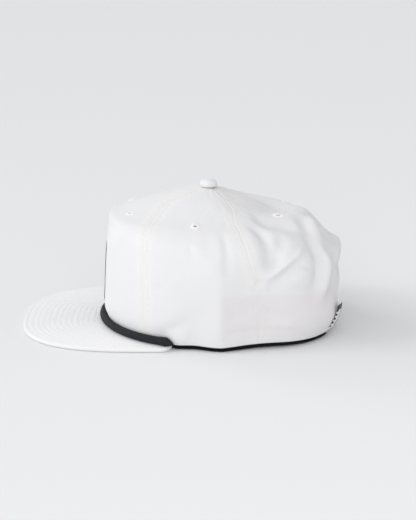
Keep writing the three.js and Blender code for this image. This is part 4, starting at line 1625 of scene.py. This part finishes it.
@dataclass
class Sweatband:
    """The dark band inside the hem, with a rolled lower edge and a row of stitches."""

    crown: Crown
    top: float = 32.0
    depth: float = 1.6
    thickness: float = 1.4
    end: float = 154.0

    def build(self) -> None:
        """Builds the band and its stitching."""
        form = self.crown.form
        bearing = np.linspace(-self.end, self.end, 620)
        drop = np.array([-3.95, -3.8, -3.5, -3.0, -2.2, -1.2, -0.4])
        rise = np.linspace(0, self.top - 1.2, 26)
        climbs = np.concatenate([drop, rise, [self.top - 0.6, self.top - 0.2, self.top]])
        stations = [*drop[:5], self.top - 1.2, self.top - 0.2, self.top]
        roll = np.interp(climbs, stations, [0.0, 0.3, 0.5, 0.62, 0.7, 0.7, 0.45, 0.0])
        turn = np.repeat(bearing[None], len(climbs), 0)
        climb = np.repeat(climbs[:, None], len(bearing), 1)
        wave = 0.09 * ClothNoise(61).read(turn / 3.1 + 80, climb / 9 + 4)
        middle_depth = -(self.depth + self.thickness / 2)
        grid = np.maximum(climb, 0)
        outer = form.place(turn, grid, middle_depth + roll[:, None] + wave * ease(grid, 3, 12))
        inner = form.place(turn, grid, middle_depth - roll[:, None] + wave)
        below = np.minimum(climb, 0)
        outer[..., 2] += below
        inner[..., 2] += below
        uv = np.stack([np.radians(turn) * 88, climb], -1)
        shell("sweatband_twill", outer, inner, uv).build(self.crown.wardrobe.band, "band", ["sweatband"])
        rows = []
        for height in (1.2, self.top - 2.0):
            line = np.full_like(bearing, height)
            path = form.place(bearing, line, middle_depth - 0.72)
            rows.append(Stitching().row("band", path, -form.normal(bearing, line)))
        merged("sweatband_stitching", rows).build(self.crown.wardrobe.dark_thread, "band")


@dataclass
class Closure:
    """The arch at the back: its binding and the two snap straps."""

    crown: Crown
    binding_thickness: float = 1.1
    strap_thickness: float = 1.5
    low: float = 1.0
    high: float = 19.0
    start: float = 155.5
    pitch: float = 9.0
    count: int = 6
    engaged: int = 4
    end_share: float = 0.65
    peg_radius: float = 2.1
    hole_radius: float = 2.6
    back_radius: float = 100.0

    @property
    def per_mm(self) -> float:
        """Bearing to a millimetre of strap."""
        return math.degrees(1 / self.back_radius)

    @property
    def past(self) -> float:
        """Bearing by which a strap passes the middle of the back."""
        return self.pitch * self.per_mm * (self.engaged - 1 + 2 * self.end_share) / 2

    def build(self) -> None:
        """Builds the binding and both straps."""
        self.binding()
        outer = WALL + 0.9
        inner = outer + self.strap_thickness + 0.3
        self.strap("strap_holes", Hand.RIGHT, outer, pegs=False)
        self.strap("strap_pegs", Hand.LEFT, inner, pegs=True)

    def arch(self) -> tuple[Array, Array]:
        """The arch's line as x and z, from the right foot over the top, and its way inward."""
        crown = self.crown
        angle = np.linspace(0, np.pi, 160)
        x = crown.arch_half * np.cos(angle)
        z = crown.arch_spring + (crown.arch_top - crown.arch_spring) * np.sin(angle)
        foot = np.linspace(5.0, crown.arch_spring, 24)[:-1]
        right = np.stack([np.full_like(foot, crown.arch_half), foot], -1)
        left = np.stack([np.full_like(foot, -crown.arch_half), foot[::-1]], -1)
        line = resample(np.concatenate([right, np.stack([x, z], -1), left]), 220)
        along = unit(np.gradient(line, axis=0))
        return line, np.stack([-along[:, 1], along[:, 0]], -1)

    def binding(self) -> None:
        """Builds the cloth edging that wraps the arch, with its stitches."""
        line, inward = self.arch()
        form = self.crown.form
        bearing, climb = form.behind(line[:, 0], line[:, 1])
        wall_y = form.place(bearing, climb)[:, 1]
        sides = 20
        angle = circle(sides)
        behind_wall, before_wall = 0.1, 1.0
        deep = (WALL + behind_wall + before_wall) / 2
        middle_y = wall_y - WALL - behind_wall + deep
        steps = np.arange(len(line))[:, None]
        puff = 1 + 0.02 * ClothNoise(71).read(steps / 9 + 3, np.zeros((len(line), 1)))
        half = self.binding_thickness / 2
        swell = np.sign(np.cos(angle)) * np.abs(np.cos(angle)) ** 0.7 * self.binding_thickness / 2 * puff
        off = 0.05 + half + swell
        y = middle_y[:, None] + np.sign(np.sin(angle)) * np.abs(np.sin(angle)) ** 0.6 * deep * puff
        points = np.stack([line[:, :1] + inward[:, :1] * off, y, line[:, 1:] + inward[:, 1:] * off], -1)
        uv = np.stack(np.broadcast_arrays(angle[None] * 1.2, run_along(line)[:, None]), -1)
        zones = np.zeros((y.size, 3))
        piece = tube("arch_binding_cloth", points[:, ::-1], uv[:, ::-1].reshape(-1, 2), zones)
        piece.build(self.crown.wardrobe.cloth, "cloth", ["arch_binding"])
        beside = line - inward * 2.4
        row = self.crown.sewn("arch", *form.behind(beside[:, 0], beside[:, 1]))
        merged("arch_stitching", [row]).build(self.crown.wardrobe.thread, "thread")

    def strap(self, name: str, hand: Hand, depth: float, pegs: bool) -> None:
        """Builds one moulded strap, bent round the crown.

        Args:
            name: The CAD node that it stands for.
            hand: The side that it is sewn to.
            depth: How deep its outer face lies under the crown's surface.
            pegs: Whether it carries pegs, or else holes.
        """
        form = self.crown.form
        length = (180 + self.past - self.start) / self.per_mm
        middle, half_high = (self.low + self.high) / 2, (self.high - self.low) / 2
        tip = 7  # length of the rounded end
        start_run = [0, 0.1, 0.3, 0.7]
        tip_run = length - tip + tip * np.sin(np.linspace(0, np.pi / 2, 26)[1:])
        run = np.concatenate([start_run, np.linspace(1.5, length - tip, 90), tip_run])
        edge = np.array([0.92, 0.955, 0.985, 1])
        rise = np.concatenate([-edge[::-1], np.linspace(-0.86, 0.86, 24), edge])
        rounded = np.sqrt(np.clip(1 - (np.clip(run - (length - tip), 0, tip) / tip) ** 2, 0, 1))
        reach = half_high - 6 * (1 - rounded)
        grid_run = np.repeat(run[None], len(rise), 0)
        up = rise[:, None] * reach[None]
        border = np.minimum(np.minimum(reach[None] - np.abs(up), grid_run), length - grid_run)
        half = self.strap_thickness / 2 * quarter(np.clip(border / 0.5, 0.06, 1))
        rim = 0.12 * bump(border, 1.3, 0.6)
        bearing = hand.value * (self.start + grid_run * self.per_mm)
        climb = middle + up
        centre_depth = -(depth + self.strap_thickness / 2)
        outer = form.place(bearing, climb, centre_depth + half + rim)
        inner = form.place(bearing, climb, centre_depth - half)
        if hand is Hand.RIGHT:
            outer, inner = outer[:, ::-1], inner[:, ::-1]
        plate = shell(f"{name}_moulding", outer, inner, np.stack([grid_run, climb], -1))
        snaps = length - self.pitch * (np.arange(self.count) + self.end_share)
        turns = hand.value * (self.start + snaps * self.per_mm)
        if pegs:
            plate = merged(plate.name, [plate, *(self.post(turn, middle, depth) for turn in turns)])
        thing = plate.build(self.crown.wardrobe.plastic, "plastic", [name])
        if not pegs:
            spots = [(form.place(turn, middle, -depth), form.facing(turn, middle)) for turn in turns]
            carve(thing, merged("holes", [drill(*spot, self.hole_radius) for spot in spots]))

    def post(self, bearing: float, climb: float, depth: float) -> Piece:
        """One peg with its rounded, slightly swollen head."""
        form = self.crown.form
        axis = form.facing(bearing, climb)
        foot = form.place(bearing, climb, -depth)
        across = unit(np.cross(axis, UP))
        other = np.cross(axis, across)
        angle = circle(40)
        wide = np.array([1.0, 1.0, 0.93, 0.93, 1.0, 1.04, 1.0, 0.86, 0.6, 0.02]) * self.peg_radius
        high = np.array([-0.4, 0.05, 0.3, 1.5, 1.8, 2.1, 2.45, 2.7, 2.84, 2.9])
        ring = np.cos(angle)[:, None] * across + np.sin(angle)[:, None] * other
        points = foot + wide[:, None, None] * ring[None] + high[:, None, None] * axis
        return Piece("peg", points.reshape(-1, 3), grid_faces(len(wide), len(angle), wrap=True))


@dataclass
class BackLabel:
    """The small blank tab beside the arch: a woven ribbon with a dark border."""

    form: CrownForm
    wardrobe: Wardrobe
    low: float = 4.0
    high: float = 23.5
    from_x: float = 39.5
    to_x: float = 47.0
    thickness: float = 0.9
    flare: float = 3.0
    gap: float = 0.3
    border: float = 3.8
    block_pitch: float = 3.4

    def build(self) -> None:
        """Builds the tab."""
        climb = np.linspace(self.low, self.high, 81)
        x = np.linspace(self.to_x, self.from_x, 61)
        c, grid_x = np.meshgrid(climb, x, indexing="ij")
        bearing, place = self.form.behind(grid_x, HEM_Z + c)
        rise = ((c - self.low) / (self.high - self.low)) ** 2
        curl = 0.3 * np.sin((grid_x - self.from_x) / (self.to_x - self.from_x) * np.pi) * rise
        off = self.gap + self.flare * rise + curl
        inner = self.form.place(bearing, place, off)
        outer = self.form.place(bearing, place, off + self.thickness)
        uv = np.stack([grid_x, c], -1)
        top = ease(self.high - c, self.border + 0.2, self.border - 0.2)
        side = ease(grid_x - self.from_x, 1.3, 1.0)
        block = np.abs((c - self.low) % self.block_pitch - self.block_pitch / 2)
        blocks = ease(self.to_x - grid_x, 1.4, 1.1) * ease(block, 1.0, 0.7)
        dark = np.clip(top + side + blocks, 0, 1) * ease(c, self.low + 1, self.low + 2)
        tab = shell("back_label_tab", outer, inner, uv, np.stack([dark] * 3, -1))
        tab.build(self.wardrobe.label, "patch", ["back_label"])


# Studio


def aimed(name: str, data: bpy.types.ID, aim: Vector, way: Vector, distance: float) -> bpy.types.Object:
    """Links a camera or a lamp into the scene, at a distance from what it looks at.

    Args:
        name: Its name.
        data: The camera or the light.
        aim: What it looks at, in metres.
        way: Unit vector from there to it.
        distance: Metres between them.

    Returns:
        The object.
    """
    thing = bpy.data.objects.new(name, data)
    thing.location = aim + way * distance
    thing.rotation_euler = (aim - thing.location).to_track_quat("-Z", "Y").to_euler()
    bpy.context.scene.collection.objects.link(thing)
    return thing


@dataclass(frozen=True)
class Lamp:
    """A lamp by its kind, its direction in degrees, its energy and the width of its source.

    The azimuth is counted from the front, positive to the wearer's left. The width is an angle in
    radians for a sun, and metres for an area.
    """

    name: str
    kind: str
    azimuth: float
    elevation: float
    energy: float
    width: float
    distance: float = 3.0

    def hang(self, aim: Vector) -> None:
        """Hangs the lamp, turned to a place in metres."""
        data = bpy.data.lights.new(self.name, self.kind)
        data.energy = self.energy
        setattr(data, "angle" if self.kind == "SUN" else "size", self.width)
        a, e = math.radians(self.azimuth), math.radians(self.elevation)
        way = Vector((math.sin(a) * math.cos(e), -math.cos(a) * math.cos(e), math.sin(e)))
        aimed(self.name, data, aim, way, self.distance)


@dataclass
class Studio:
    """The floor, the lights and the camera."""

    wardrobe: Wardrobe
    distance: float = 1.2
    elevation: float = 16.5
    aim: tuple[float, float, float] = (0.0, 0.022, 0.0525)
    lens: float = 98.03
    lit: tuple[float, float, float] = (0.0, 0.034, 0.05)
    floor_reach: float = 9.0
    lamps: tuple[Lamp, ...] = (
        Lamp("key_light", "SUN", 4.0, 33.0, 0.69, math.radians(24)),
        Lamp("window_light", "SUN", -35.0, 25.0, 0.4, math.radians(28)),
        Lamp("fill_light", "AREA", 89.0, 22.0, 12.0, 1.6, 2.1),
        Lamp("low_front_light", "SUN", 30.0, 6.0, 0.2, math.radians(26)),
        Lamp("low_side_light", "SUN", 80.0, 4.0, 0.26, math.radians(26)),
    )

    def build(self) -> None:
        """Sets the whole studio."""
        self.floor()
        self.camera()
        for lamp in self.lamps:
            lamp.hang(Vector(self.lit))
        self.surround()

    def floor(self) -> None:
        """Lays the pale floor out to the far edge of the picture."""
        count = 25
        line = np.linspace(-self.floor_reach, self.floor_reach, count)
        x, y = np.meshgrid(line, line, indexing="ij")
        points = np.stack([x, y, np.zeros_like(x)], -1).reshape(-1, 3)
        thing = new_object("studio_floor", points, grid_faces(count, count))
        thing.data.update()
        thing.data.materials.append(self.wardrobe.floor)

    def camera(self) -> None:
        """Puts the camera at the cap's left side, a little above it."""
        data = bpy.data.cameras.new("studio_camera")
        data.lens = self.lens
        data.sensor_width = 36.0
        data.clip_end = 60.0
        tilt = math.radians(self.elevation)
        way = Vector((math.cos(tilt), 0.0, math.sin(tilt)))
        bpy.context.scene.camera = aimed("studio_camera", data, Vector(self.aim), way, self.distance)

    def surround(self) -> None:
        """White walls all round."""
        world = bpy.data.worlds.new("white_studio")
        bpy.context.scene.world = world
        world.use_nodes = True
        back = next(n for n in world.node_tree.nodes if n.type == "BACKGROUND")
        back.inputs["Color"].default_value = (0.985, 0.988, 1.0, 1.0)
        back.inputs["Strength"].default_value = 0.75
        bpy.context.scene.view_settings.view_transform = "Standard"


def main() -> None:
    """Builds the cap's pieces in order, then the studio."""
    logging.basicConfig(level=logging.INFO, format="%(message)s")
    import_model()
    form = CrownForm()
    wardrobe = Wardrobe.made()
    crown = Crown(form, wardrobe)
    for part in (
        crown,
        Eyelets(crown),
        Button(form, wardrobe),
        Peak(form, wardrobe),
        Rope(form, wardrobe),
        FrontPatch(crown),
        Sweatband(crown),
        Closure(crown),
        BackLabel(form, wardrobe),
        Studio(wardrobe),
    ):
        part.build()
        LOG.info("built %s", type(part).__name__)


if __name__ == "__main__":
    main()
